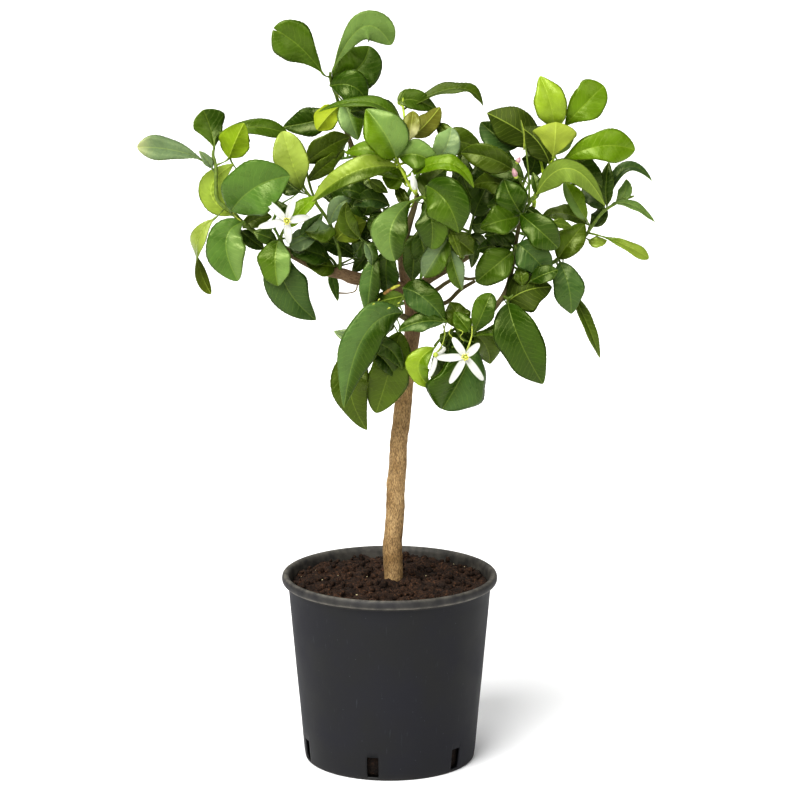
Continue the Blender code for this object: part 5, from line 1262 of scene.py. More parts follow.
@dataclass
class Foliage:
    """A leafy shoot: its stems, its leaf stalks and its blades, as one piece. Lengths are in mm."""

    name: str
    shoot: Shoot
    stem_colour: str
    fine: bool = True
    thick: float = 0.55
    stalk_radius: float = 0.95
    stalk_slant: float = 9.0  # how far down its stem a leaf stalk is seated
    tooth: float = 3.8  # spacing of the small teeth on the margins
    tooth_depth: float = 0.62
    quilt: float = 0.17  # rise of the skin between the side veins
    crumple: float = 2.6  # how much more a crumpled leaf quilts
    groove: float = 0.35  # depth of the trough along the midrib
    rib: float = 0.75  # how far the midrib stands out below
    node_spacing: float = 17.0  # the stems swell at their joints
    # Shares of the half width at which a blade has a column of points, closer by the midrib
    columns: tuple = (0.0, 0.05, 0.16, 0.35, 0.6, 0.86, 1.0)
    coarse_columns: tuple = (0.0, 0.12, 0.5, 1.0)

    def build(self, limbs: dict[str, Array], finishes: list[Material]) -> Piece:
        """Builds the piece.

        Args:
            limbs: each limb's path, rows of (X, Y, Z, radius).
            finishes: the leaf and the stem material.

        Returns:
            The piece.
        """
        skin = Skin(self.name + "_foliage")
        paths = self._stems(skin, limbs[self.shoot.limb])
        for number, leaf in enumerate(self.shoot.leaves):
            draw = np.random.default_rng([number, len(self.name), ord(self.name[-1]), ord(self.name[6])])
            self._blade(skin, leaf, draw)
            self._stalk(skin, leaf, paths)
        return skin.build(finishes)

    def _stems(self, skin: Skin, limb: Array) -> list[Array]:
        """Adds the stems. Each starts on the limb or on the first stem.

        Args:
            skin: takes the stems.
            limb: the path that they grow from.

        Returns:
            Their paths, rows of (X, Y, Z, radius).
        """
        paths = []
        for rows in self.shoot.stems:
            path = stem_path(rows)
            path[0, :3] = nearest_on(paths[0] if paths else limb, path[0, :3])
            path = smooth_path(path, 0.0028)
            to_joint = distance_along(path[:, :3]) % self.node_spacing - self.node_spacing / 2
            swollen = path.copy()
            swollen[:, 3] *= 1.0 + 0.22 * hump(to_joint, 1.3)
            swollen[-1, 3] *= 0.6
            skin.add_stem(swollen, 10, 1, linear(self.stem_colour))
            paths.append(path)
        return paths

    def _frame(self, leaf: Leaf, u: Array) -> tuple[Array, ...]:
        """The midrib's points and the blade's directions there.

        The midrib is a bend of second order through base, via and tip. Across lies square to it and to the
        line of sight, turned about the midrib by the leaf's roll and twist.

        Args:
            leaf: the leaf.
            u: shares of the midrib's length, (along, 1).

        Returns:
            The points, and the directions along, across and out, each (along, 3).
        """
        base, via, tip = EYE.sight([leaf.base, leaf.via, leaf.tip])
        handle = 2 * via - (base + tip) / 2
        spot = (1 - u) ** 2 * base + 2 * u * (1 - u) * handle + u**2 * tip
        along = unit(blend(handle - base, tip - handle, u))
        across = unit(np.cross(along, spot - np.array(EYE.place)))
        side = -1.0 if leaf.tip[0] > leaf.base[0] else 1.0
        angle = np.radians(side * (leaf.roll + leaf.twist * u))
        across = across * np.cos(angle) + np.cross(along, across) * np.sin(angle)
        return spot, along, across, np.cross(along, across)

    def _half_width(self, leaf: Leaf, u: Array, length: Array) -> Array:
        """Half the blade's width along its midrib.

        It is the widest times the sine of half a turn of u, bent so that it peaks at the widest place, to the
        power of the blade's fullness, with small teeth, and never thinner than the stalk that runs into it.

        Args:
            leaf: the leaf.
            u: shares of the midrib's length, (along, 1).
            length: the same in mm.

        Returns:
            Half widths in mm, (along, 1).
        """
        widest, fullness = (leaf.blunt, 0.62) if leaf.blunt else (0.46, 0.78)
        bent = u ** (math.log(0.5) / math.log(widest))
        half = leaf.wide / 2 * np.sin(math.pi * bent) ** fullness
        teeth = np.abs(np.sin(math.pi * length / self.tooth)) ** 0.7 - 0.7
        half += teeth * self.tooth_depth * np.sin(math.pi * u) ** 0.5
        return np.maximum(half, self.stalk_radius * (1 - u) + 0.2)

    def _blade(self, skin: Skin, leaf: Leaf, draw: np.random.Generator) -> None:
        """Adds one blade as a thin closed surface of u along the midrib and x across it.

        The height out of the blade's plane is a fold that rises as |x| to the power 1.15 and curls in again,
        plus a slow wave along the margins, plus a low quilt between the side veins, less the trough along the
        midrib, plus half the thickness, which thins to the margins, and the midrib on the underside.

        Args:
            skin: takes the blade.
            leaf: the leaf.
            draw: gives its waves and tint.
        """
        reach = distance_along(EYE.sight([leaf.base, leaf.via, leaf.tip]))[-1]
        s = np.linspace(0.0, 1.0, int(np.clip(reach / 1.15, 30, 78)) if self.fine else 24)[:, None]
        u = 0.5 * s + 0.25 * (1 - np.cos(math.pi * s))
        u[0], u[-1] = 0.0, 0.9985
        spot, along, across, out = self._frame(leaf, u)
        length = distance_along(spot)[:, None]
        half = self._half_width(leaf, u, length)
        columns = np.array(self.columns if self.fine else self.coarse_columns)
        x, face = both_faces(np.concatenate([-columns[:0:-1], columns]))
        lift = -1.0 if leaf.under else 1.0
        below = face * lift < 0
        lean = 1.0 + 0.1 * waves(int(draw.integers(1 << 30)), u * 1.6, np.sign(x) * 0.7)
        wave = draw.uniform(0.8, 2.3) * min(leaf.wide / 30, 1.3) * (1.6 if leaf.crumpled else 1.0)
        phase = draw.uniform(0, ROUND, 2)
        ripple = draw.uniform(1.2, 2.8)
        bend = draw.uniform(0.1, 0.5) if leaf.fold is None else leaf.fold
        curl = draw.uniform(0.35, 0.8)
        swell = np.sin(math.pi * u)
        offset = np.abs(x) * half
        fold = bend * half * np.abs(x) ** 1.15 * (1 - curl * x**2)
        margin = wave * x**2 * swell * np.sin(ROUND * ripple * u + np.where(x > 0, phase[0], phase[1]))
        veins = (length - VEIN_LEAN * offset - VEIN_BEND * offset**2) / VEIN_SPACING
        quilt = self.quilt * (self.crumple if leaf.crumpled else 1.0) * np.cos(ROUND * veins) * (1 - x**2) * swell
        groove = self.groove * hump(offset, 1.1) * swell**0.4
        thick = self.thick / 2 * np.sqrt(np.maximum(1 - x**2, 0.0)) * np.minimum(half / 1.5, 1)
        rib = self.rib * hump(offset, 1.0) * (1 - 0.8 * u) * below
        height = lift * (fold + margin - quilt - groove) + face * (thick + rib)
        drawn_in = leaf.notch * hump(x, 0.4) * smooth_step(u, 0.72, 1.0)
        points = spot[:, None] + (across[:, None] * (x * half * lean)[..., None] + out[:, None] * height[..., None]
                                  - along[:, None] * drawn_in[..., None]) * MM
        values = self._tones(leaf, u, x, draw)
        blade = np.stack([length + draw.uniform(0, 900) + 0 * x, half * x, half - offset], axis=-1)
        skin.add_rings(points, 0, blade=blade, top_side=np.where(below, 0.0, 1.0) + 0 * u, **values)

    @staticmethod
    def _tones(leaf: Leaf, u: Array, x: Array, draw: np.random.Generator) -> dict[str, Array]:
        """The blade's colours: its tone, which may change towards the tip or on one half.

        Args:
            leaf: the leaf.
            u: shares of the midrib's length, (along, 1).
            x: shares of the half width, (1, around).
            draw: gives the tint.

        Returns:
            The linear colours of its two sides, (along, around, 3).
        """
        u, x = u[..., None], x[..., None]
        tone, under = leaf.tone.top(), leaf.tone.under()
        if leaf.far:
            share = smooth_step(u, leaf.far_start, leaf.far_start + 0.35)
            tone, under = blend(tone, leaf.far.top(), share), blend(under, leaf.far.under(), share)
        # The half's tone is mostly painted highlight and painted shade on one side of the fold
        if leaf.half:
            tone = blend(tone, leaf.half.top(), smooth_step(x, -0.12, 0.3))
        tint = draw.uniform(0.88, 1.14) + 0 * u * x
        return {"tone": tone * tint * (1.0 - 0.12 * smooth_step(u, 0.5, 0.0)), "under_tone": under * tint}

    def _stalk(self, skin: Skin, leaf: Leaf, paths: list[Array]) -> None:
        """Adds the stalk from the nearest stem to the blade, a bend that meets the midrib head on.

        Args:
            skin: takes the stalk.
            leaf: the leaf.
            paths: the shoot's stems.
        """
        spot, along, _, _ = self._frame(leaf, np.array([[0.0], [0.02]]))
        base, along = spot[0], along[0]
        stem = min(paths, key=lambda path: gap(path, base))
        root = nearest_on(stem, base - along * self.stalk_slant * MM)
        reach = float(np.linalg.norm(base - root))
        start, end = blend(root, base, 0.3), base - along * reach * 0.35
        t = np.linspace(0, 1, 10)[:, None]
        path = ((1 - t) ** 3 * root + 3 * (1 - t) ** 2 * t * start + 3 * (1 - t) * t**2 * end
                + t**3 * (base + along * 1.5 * MM))
        radius = self.stalk_radius * MM * (1.0 + 0.35 * np.cos(ROUND * t))
        colour = blend(linear(self.stem_colour), leaf.tone.top(), smooth_step(t, 0.2, 1.0)[:, None] * 0.5)
        skin.add_stem(np.hstack([path, radius]), 8, 1, colour)


@dataclass
class Wood:
    """The trunk and its limbs: one piece of tubes with fissured bark, swollen where they join."""

    sides: int = 30
    limb_sides: int = 18
    step_mm: float = 3.2
    fissure_mm: float = 0.32
    # The trunk inside the soil: height and radius in metres
    foot: tuple = ((0.150, 0.0094), (0.176, 0.0102))
    # Knots on the trunk: pixel row, turn about the trunk in degrees, radius and height in mm
    knots: tuple = ((428, 250, 5.0, 1.4), (482, 200, 6.0, 1.6), (541, 215, 4.0, 1.2), (563, 230, 4.5, 1.3),
                    (505, 320, 5.0, 1.0), (395, 300, 5.0, 1.2), (350, 210, 5.0, 1.5))

    def paths(self) -> dict[str, Array]:
        """Lays out the limbs, the trunk from inside the soil.

        Returns:
            For each limb its rows of (X, Y, Z, radius).
        """
        soil = EYE.sight(TRUNK_FOOT)
        below = [(TRUNK_X * MM, 0.0, *row) for row in self.foot] + [(soil[0], 0.0, soil[2], self.foot[-1][1])]
        rows = {name: stem_path(places) for name, places in LIMBS.items()}
        rows["trunk"] = np.vstack([below, rows["trunk"]])
        return {name: smooth_path(path, self.step_mm * MM) for name, path in rows.items()}

    def build(self, bark: Material) -> Piece:
        """Builds the piece.

        The bark stands out by a sum of sines of the turn about the limb, whose phases wander slowly along
        it, which gives long shallow fissures. A knot is a bump with a dimple.

        Args:
            bark: its material.

        Returns:
            The piece.
        """
        skin = Skin("trunk_and_limbs")
        for number, (name, path) in enumerate(self.paths().items()):
            trunk = name == "trunk"
            if not trunk:
                from_fork = np.linalg.norm(path[:, :3] - path[0, :3], axis=1) / MM
                path[:, 3] *= 1 + 0.35 * np.exp(-from_fork / 9.0)
            radius, sides = path[:, 3:4], self.sides if trunk else self.limb_sides
            rings, out = tube_rings(path, sides)
            turn = np.arange(sides)[None, :] / sides
            length = distance_along(path[:, :3])[:, None]
            along = length / 55.0
            ripple = sum(np.abs(np.sin(math.pi * count * turn + waves(70 + number + count, along) * 1.3))
                         for count in (5, 8, 13)) / 3 - 0.64
            share = np.clip(radius / 0.009, 0.15, 1.0)
            bump = self.fissure_mm * ripple * share * 2 + 0.25 * waves(3, along * 4, turn * 2) * share
            if trunk:
                bump += self._knots(path, rings)
            grain = np.stack([length + 300.0 * number + 0 * turn, radius / MM * np.cos(ROUND * turn),
                              radius / MM * np.sin(ROUND * turn)], axis=-1)
            skin.add_rings(rings + out * (bump * MM)[..., None], 0, grain=grain,
                           young=smooth_step(radius, 0.0062, 0.0034) + 0 * turn)
        return skin.build([bark])

    def _knots(self, path: Array, rings: Array) -> Array:
        """How far the trunk's knots stand out.

        Args:
            path: the trunk's rows.
            rings: its points, (along, around, 3).

        Returns:
            Heights in mm, (along, around).
        """
        total = np.zeros(rings.shape[:2])
        for row, turn, radius, height in self.knots:
            middle = path[np.argmin(np.abs(path[:, 2] - EYE.sight((400, row, 0))[2]))]
            angle = math.radians(turn)
            spot = middle[:3] + middle[3] * np.array([math.cos(angle), math.sin(angle), 0.0])
            away = np.linalg.norm(rings - spot, axis=-1) / (radius * MM)
            total += height * (hump(away, 1.0) - 0.7 * hump(away, 1 / 2.6))
        return total


@dataclass
class NurseryPot:
    """The round nursery pot: a turned wall with a rolled rim, a flat floor and six slots low in the wall."""

    height: float = 203.0
    rim_radius: float = 115.0
    base_radius: float = 91.0
    wall: float = 1.8
    floor: float = 3.0
    bead_height: float = 10.0
    bead_out: float = 6.5
    bead_half: tuple = (3.4, 5.1)  # half the width and height of the rolled bead
    slot_width: float = 12.0
    slot_rows: tuple = (3.6, 9.0, 15.0, 21.0, 26.0)  # the rows of points from a slot's sill to its head
    slots: int = 6
    slot_turn: float = -11.0
    columns_between: int = 34
    columns_in_slot: int = 6

    def _outside(self) -> Array:
        """The outer profile from the base's edge up over the bead.

        Returns:
            Rows of (radius, height) in mm.
        """
        base, wide, high = self.base_radius, *self.bead_half
        wall_top, under_bead = self.rim_radius - self.bead_out, self.height - self.bead_height
        top = under_bead - 3.4
        slope = (wall_top - 0.4 - base - 1.0) / (top - 8.0)
        z = np.array([*self.slot_rows, *np.linspace(34.0, top, 16)])
        wall = np.stack([base + 1.0 + slope * (z - 8.0) - np.where(z < 5, 0.4, 0.0), z], axis=1)
        angle = np.radians(np.arange(-118, 91, 16))
        bead = np.stack([self.rim_radius - wide + wide * np.cos(angle),
                         self.height - high + high * np.sin(angle)], axis=1)
        foot = [(base - 1.8, 0.0), (base - 0.6, 0.7), (base, 2.0)]
        return np.vstack([foot, wall, [(wall_top + 0.9, under_bead - 0.6)], bead])

    def _inside(self) -> Array:
        """The inner profile from the top of the bead down to the floor.

        Returns:
            Rows of (radius, height) in mm.
        """
        base, top = self.base_radius - self.wall, self.height - self.bead_height
        wall_top, foot = self.rim_radius - self.bead_out - self.wall, base + 0.6
        z = np.array([*np.linspace(top, 34.0, 12), *self.slot_rows[:0:-1]])
        wall = np.stack([foot + (wall_top - foot) / (top - 6.0) * (z - 6.0), z], axis=1)
        lip = [(wall_top + 2.2, self.height - 0.7), (wall_top + 0.9, self.height - 2.2),
               (wall_top + 0.2, self.height - 5.0)]
        return np.vstack([lip, wall, [(base - 0.7, self.slot_rows[0]), (base - 1.2, self.floor)]])

    def _worn(self, z: Array, inner: Array) -> Array:
        """How pale the rows are: the bead's lower and upper edges, abraded and also carrying a painted highlight,
        the inner wall and the dusty foot.

        Args:
            z: heights in mm, (row, column).
            inner: which rows lie inside.

        Returns:
            Shares in the shape of z.
        """
        edge = self.height - self.bead_height
        share = 0.7 * hump(z - edge - 0.8, 1.3) + 0.45 * smooth_step(z, self.height - 2.5, self.height)
        share += 0.16 * smooth_step(z, edge - 1, edge + 1)
        share = np.where(inner, 0.42 * smooth_step(z, edge - 14, edge - 6), share)
        return share + 0.12 * smooth_step(z, 5.0, 0.0)

    def _turns(self) -> tuple[Array, Array]:
        """Lays out the columns, some of them in each slot.

        Returns:
            Their turns in radians, and whether the step to the next column is in a slot.
        """
        half, pitch = math.asin(self.slot_width / 2 / self.base_radius), ROUND / self.slots
        steps = np.concatenate([np.linspace(-half, half, self.columns_in_slot + 1)[:-1],
                                np.linspace(half, pitch - half, self.columns_between + 1)[:-1]])
        starts = math.radians(self.slot_turn) + pitch * np.arange(self.slots)
        cut = np.arange(len(steps)) < self.columns_in_slot
        return (starts[:, None] + steps).ravel(), np.tile(cut, self.slots)

    def build(self, plastic: Material) -> Piece:
        """Builds the pot.

        The closed profile is turned about the upright axis: x is the radius times the sine of the turn and y
        minus its cosine. The faces of both walls are left out in the slots, whose edges are joined by jambs.

        Args:
            plastic: its material.

        Returns:
            The piece.
        """
        outside = self._outside()
        profile = np.vstack([outside, self._inside()])
        turns, cut = self._turns()
        index = np.arange(len(profile) * len(turns)).reshape(len(profile), len(turns))
        z = profile[:, 1:2] + 0 * turns
        radius = profile[:, :1] + 0.12 * waves(11, np.cos(turns)[None, :] * 2, profile[:, 1:2] / 90)
        points = np.stack([radius * np.sin(turns), -radius * np.cos(turns), z], axis=-1).reshape(-1, 3)
        points = np.vstack([points, [(0.0, 0.0, 0.0), (0.0, 0.0, self.floor)]]) * MM
        beside_slot = np.isin(profile[:, 1], self.slot_rows)
        closed = ~((beside_slot[:-1] & beside_slot[1:])[:, None] & cut)
        walls = ring_faces(index)
        walls = walls[np.concatenate([closed.ravel(), np.ones(len(walls) - closed.size, bool)])]
        faces = np.vstack([walls, self._jambs(index, np.nonzero(beside_slot)[0], cut)])
        used = np.unique(faces[faces >= 0])
        again = np.full(len(points) + 1, -1)
        again[used] = np.arange(len(used))
        worn = self._worn(z, np.arange(len(profile))[:, None] >= len(outside))
        skin = Skin("nursery_pot")
        skin.add(points[used], again[faces], worn=np.append(worn, [0, 0])[used])
        return skin.build([plastic])

    def _jambs(self, index: Array, rows: Array, cut: Array) -> Array:
        """The faces between the outer and the inner wall round each slot.

        They run up one side, across the head, down the other side and back along the sill.

        Args:
            index: the walls' point numbers (row, column).
            rows: the rows beside the slots, those of the outer wall upwards and then the inner ones downwards.
            cut: which columns start a step inside a slot.

        Returns:
            Rows of four indices.
        """
        high, wide = len(self.slot_rows) - 1, self.columns_in_slot
        up = np.concatenate([np.arange(high), np.full(wide, high), np.arange(high, 0, -1), np.zeros(wide, int)])
        over = np.concatenate([np.zeros(high, int), np.arange(wide), np.full(high, wide), np.arange(wide, 0, -1)])
        faces = []
        for start in np.nonzero(cut & ~np.roll(cut, 1))[0]:
            column = (start + over) % len(cut)
            outer, inner = index[rows[up], column], index[rows[-1 - up], column]
            faces.append(np.stack([inner, np.roll(inner, -1), np.roll(outer, -1), outer], axis=1))
        return np.vstack(faces)


@dataclass
class Soil:
    """The peat that fills the pot: a lumpy bed, clods and crumbs that lie on it, and a few perlite grains."""

    top: float = 190.0
    lump: float = 2.2
    rim: float = 105.6
    trunk_x: float = 4.0
    trunk_clear: float = 11.0
    rings: int = 84
    sectors: int = 190
    # The plug under the top: radius and height
    plug: tuple = ((85.9, 3.4), (87.4, 8.0), (90.2, 34.0), (96.5, 100.0), (103.2, 170.0))
    clods: int = 640
    # Where perlite shows, in pixels
    grains: tuple = ((365, 552), (372, 558), (349, 567), (407, 546), (448, 558), (461, 568), (472, 566),
                     (466, 561), (421, 578), (426, 576), (298, 574), (338, 577), (432, 552), (388, 550))

    def height(self, x: Array, y: Array) -> Array:
        """How high the bed lies: the solid's own low lumps, with crumbly hollows on them.

        Args:
            x: places in mm.
            y: places in mm.

        Returns:
            Heights in mm.
        """
        lumps = np.sin(0.105 * x + 1.3) * np.sin(0.12 * y + 0.4) + 0.6 * np.sin(0.23 * x - 0.17 * y)
        away = np.hypot(x, y) / 115.0
        rough = 1.6 * waves(21, x / 21, y / 21) + 0.9 * waves(22, x / 8, y / 8) + 0.5 * waves(23, x / 3.6, y / 3.6)
        heap = 6.5 * hump(np.hypot(x - self.trunk_x, y) - 13, 11)
        full = 2.6 * smooth_step(y, 0.0, 90.0)
        return self.top + self.lump * lumps - 2.0 * away**4 + rough + heap + full + 1.2

    def bed(self, peat: Material) -> Piece:
        """Builds the bed: a plug whose top is the height at each radius and turn.

        Args:
            peat: its material.

        Returns:
            The piece.
        """
        turn = ROUND * np.arange(self.sectors)[None, :] / self.sectors
        wall, level = np.array(self.plug).T[:, :, None]
        radius = np.vstack([wall, self.rim * np.linspace(1.0, 0.012, self.rings)[:, None]])
        x, y = radius * np.cos(turn), radius * np.sin(turn)
        below = len(self.plug)
        z = np.vstack([level + 0 * turn, self.height(x[below:], y[below:])])
        skin = Skin("soil_bed")
        skin.add_rings(np.stack([x, y, z], axis=-1) * MM)
        return skin.build([peat])

    def loose(self, name: str, count: int, sizes: tuple[float, float], seed: int, finish: Material,
              seen: tuple = ()) -> Piece:
        """Builds loose lumps that lie in the bed's top.

        A lump is a ball of 6 rings by 8 sides whose radius swells and shrinks by low waves, flattened a little.

        Args:
            name: the piece's name.
            count: how many.
            sizes: the least and greatest radius in mm; small ones are the most common.
            seed: sets where they lie.
            finish: their material.
            seen: pixels where the first of them show.

        Returns:
            The piece.
        """
        draw = np.random.default_rng(seed)
        skin = Skin(name)
        shown = [EYE.ground(pixel, (self.top + 2) * MM)[:2] / MM for pixel in seen]
        lat = np.linspace(0.18, math.pi - 0.18, 6)[:, None]
        lon = (ROUND * np.arange(8) / 8)[None, :]
        ball = np.stack([np.sin(lat) * np.cos(lon), np.sin(lat) * np.sin(lon), np.cos(lat) + 0 * lon], axis=-1)
        for number in range(count):
            size = blend(*sizes, draw.uniform() ** 3)
            reach = self.rim - size - 1
            spot = draw.uniform(-1, 1, 2) * reach
            if number < len(shown):
                spot = shown[number] * min(1.0, (self.rim - 5) / np.hypot(*shown[number]))
            else:
                while (np.hypot(*spot) >= reach
                       or np.hypot(spot[0] - self.trunk_x, spot[1]) <= self.trunk_clear + size):
                    spot = draw.uniform(-1, 1, 2) * reach
            swell = 1 + 0.28 * waves(int(draw.integers(1 << 30)), *np.moveaxis(ball / 2, -1, 0))
            turned, _ = np.linalg.qr(draw.normal(size=(3, 3)))
            lump = (ball * swell[..., None] * draw.uniform(0.7, 1.1, 3)) @ turned * size
            floor = float(self.height(*spot[:, None])[0])
            skin.add_rings((lump + np.array([*spot, floor + size * 0.35])) * MM)
        return skin.build([finish])


@dataclass
class Blossom:
    """One open lemon flower: five waxy petals on a calyx, with a ring of stamens round the pistil."""

    name: str
    bloom: Bloom
    petal_wide: float
    petal_thick: float = 0.7
    stamens: int = 22
    filament_mm: float = 5.0
    anther_mm: float = 1.5
    # Shares of the half width at which a petal has a column of points
    columns: tuple = (-1, -0.93, -0.75, -0.5, -0.25, -0.08, 0, 0.08, 0.25, 0.5, 0.75, 0.93, 1.0)
    # Turned profiles along the way that the flower faces: height and radius in mm
    cup: tuple = ((-2.8, 1.2), (-1.2, 2.9), (0.0, 2.4))
    pistil: tuple = ((0.0, 1.5), (1.4, 1.6), (2.4, 0.9), (3.6, 0.5), (4.4, 0.7), (5.0, 1.5), (5.6, 1.0))

    def _axis(self) -> tuple[Array, Array]:
        """The middle and the direction that the flower faces."""
        return EYE.sight(self.bloom.middle), unit(np.array(self.bloom.facing, float))

    def petals(self, finishes: list[Material]) -> Piece:
        """Builds the petals.

        A petal's line runs from the middle to its tip with an arch towards the viewer. Its half width is
        sin of (0.80 u + 0.13) half turns to the power 0.6, its margins rise as |x| squared, and its tip
        bends back.

        Args:
            finishes: the petal and the calyx material.

        Returns:
            The piece.
        """
        middle, facing = self._axis()
        skin = Skin(self.name + "_petals_open")
        x, face = both_faces(np.array(self.columns))
        draw = np.random.default_rng(len(self.name) + 40)
        u = np.sin(np.linspace(0.06, math.pi / 2, 20))[:, None]
        half = self.petal_wide / 2 * np.sin(math.pi * (0.80 * u + 0.13)) ** 0.6
        half = np.where(u > 0.9, half * np.sqrt(np.maximum(1 - ((u - 0.9) / 0.101) ** 2, 0.02)), half)
        arch = 2.2 * np.sin(math.pi * u) - 1.2 * u**4
        for spot in self.bloom.tips:
            flat = EYE.sight(spot) - middle
            along = unit(flat - facing * np.dot(flat, facing))
            wave = 0.5 * np.sin(5 * u + draw.uniform(0, 6)) * x * u
            rise = 0.28 * half * x**2 - 0.35 * hump(x * half, 0.9) * (1 - u)
            thick = self.petal_thick / 2 * np.sqrt(np.maximum(1 - x**2, 0.0))
            line = middle + flat * u + (along * 0.8 + facing * arch) * MM
            points = line[:, None] + (np.cross(along, facing) * (half * x)[..., None]
                                      + facing * (rise + wave + face * thick)[..., None]) * MM
            skin.add_rings(points, 0, petal=np.stack([u + 0 * x, half * x, half * (1 - np.abs(x))], axis=-1))
        cup = np.array(self.cup) * MM
        rings, _ = tube_rings(np.hstack([middle + facing * cup[:, :1], cup[:, 1:]]), 12)
        skin.add_rings(rings, 1, petal=np.zeros(rings.shape))
        return skin.build(finishes)

    def heart(self, finishes: list[Material]) -> Piece:
        """Builds the stamens, whose filaments stand in a cone, and the pistil in their middle.

        Args:
            finishes: the anther, filament and pistil materials.

        Returns:
            The piece.
        """
        middle, facing = self._axis()
        first = unit(np.cross(facing, [0.2, 0.3, 0.9]))
        second = np.cross(facing, first)
        draw = np.random.default_rng(len(self.name) + 9)
        skin = Skin(self.name + "_stamens")
        start = middle + facing * MM
        steps = np.linspace(-0.5, 0.5, 5)[:, None]
        bulge = 0.52 * MM * np.sqrt(np.maximum(1 - (1.9 * steps) ** 2, 0.08))
        for number in range(self.stamens):
            turn = ROUND * (number + draw.uniform(-0.2, 0.2)) / self.stamens
            out = first * math.cos(turn) + second * math.sin(turn)
            spread = draw.uniform(0.1, 0.55)
            high = self.filament_mm * draw.uniform(0.8, 1.1) * MM
            rows = np.array([(0.0, 0.0), (0.4, 0.5), (1.0, 0.92)]) * high
            path = start + out * (1.5 * MM + rows[:, :1] * spread) + facing * rows[:, 1:]
            skin.add_tube(np.hstack([path, np.full((3, 1), 0.28 * MM)]), 5, 1)
            heading = unit(path[-1] - path[-2]) + out * 0.4
            length = self.anther_mm * MM * draw.uniform(0.85, 1.2)
            skin.add_tube(np.hstack([path[-1] + heading * steps * length, bulge]), 6, 0)
        pistil = np.array(self.pistil) * MM
        skin.add_tube(np.hstack([start + facing * pistil[:, :1], pistil[:, 1:]]), 10, 2)
        return skin.build(finishes)


@dataclass
class Bud:
    """A closed flower bud: an egg of overlapping petals, in a small green calyx."""

    name: str
    base: Place
    tip: Place
    wide: float
    # The calyx: shares of the bud's length, and radii as shares of its width
    cup: tuple = ((-0.16, 0.22), (-0.06, 0.36), (0.04, 0.44), (0.13, 0.40))

    def build(self, finishes: list[Material]) -> Piece:
        """Builds the bud: a turned egg, widest low down, with five seams pressed in along it.

        Args:
            finishes: the bud's and the calyx's material.

        Returns:
            The piece.
        """
        foot, top = EYE.sight([self.base, self.tip])
        s = np.linspace(0.0, 1.0, 18)[:, None]
        radius = self.wide / 2 * MM * np.maximum(np.sin(math.pi * s**0.8) ** 0.62, 0.06) * (1.16 - 0.3 * s)
        rings, out = tube_rings(np.hstack([blend(foot, top, s), radius]), 20)
        from_seam = np.abs((5 * np.arange(20) / 20 + s) % 1.0 - 0.5)
        skin = Skin(self.name + "_closed")
        skin.add_rings(rings - out * (0.16 * radius * hump(from_seam, 0.16))[..., None])
        cup = np.array(self.cup)
        skin.add_tube(np.hstack([blend(foot, top, cup[:, :1]), cup[:, 1:] * self.wide * MM]), 10, 1)
        return skin.build(finishes)


@dataclass
class Twigs:
    """Bare twigs, spines and old flower stalks that stand among the leaves."""

    # Each is its colour, then a path of (x, y, near, radius in mm)
    rows: tuple = (
        ("#8f9a3c", (524, 150, 54, 0.9), (524, 133, 52, 0.8), (521, 120, 50, 0.6)),
        ("#8f9a3c", (386, 283, 20, 0.8), (392, 284, 30, 0.7), (393, 286, 34, 0.6)),
        ("#6f7a3c", (566, 250, 56, 0.8), (563, 262, 60, 0.7), (569, 269, 62, 0.6), (573, 276, 60, 0.5)),
        ("#74603a", (358, 279, 30, 0.8), (356, 290, 34, 0.7), (349, 293, 36, 0.6), (339, 293, 38, 0.9)),
        ("#8f9a3c", (450, 316, 58, 0.8), (445, 326, 60, 0.6), (443, 337, 58, 0.5)),
        ("#8f9a3c", (233, 213, 64, 0.7), (237, 218, 74, 0.7), (241, 221, 80, 0.6)),
        ("#8f9a3c", (334, 88, -8, 0.6), (337, 94, 2, 0.6), (340, 98, 6, 0.8)),
        ("#b0ba58", (472, 326, 96, 0.7), (472, 334, 106, 0.8), (470, 342, 116, 1.0), (467, 351, 119, 1.4)),
        ("#8f9c40", (443, 325, 92, 0.6), (445, 334, 100, 0.6), (442, 345, 104, 0.7), (437, 353, 103, 0.9)),
        ("#a3ae4c", (457, 329, 100, 0.4), (463, 332, 106, 0.5), (460, 337, 108, 0.4), (464, 341, 108, 0.5)),
        ("#a3ae4c", (452, 327, 100, 0.4), (449, 333, 104, 0.5), (453, 338, 106, 0.6)),
        ("#7c6130", (384, 294, 108, 1.5), (388, 291, 110, 1.8), (392, 289, 111, 1.4)),
        ("#a5a43e", (391, 289, 111, 1.2), (395, 287, 112, 1.7), (400, 285, 112, 0.9)),
        ("#a9b04c", (387.5, 309, 110, 0.6), (389, 308, 111, 0.9), (390.5, 307.5, 111, 0.5)),
        ("#a9b04c", (397.5, 303.5, 110, 0.5), (398.6, 303, 111, 0.8), (400, 302.5, 111, 0.5)),
        ("#a9b04c", (372.5, 304.5, 110, 0.5), (373.6, 304, 111, 0.8), (375, 303.5, 111, 0.5)),
        ("#a9b04c", (378, 300.5, 110, 0.5), (379, 299.5, 111, 0.8), (380, 298.5, 111, 0.5)),
    )

    def build(self, stem: Material) -> Piece:
        """Builds all of them as one piece.

        Args:
            stem: their material.

        Returns:
            The piece.
        """
        skin = Skin("bare_twigs")
        for colour, *rows in self.rows:
            skin.add_stem(smooth_path(stem_path(rows), 0.002), 8, 0, linear(colour))
        return skin.build([stem])


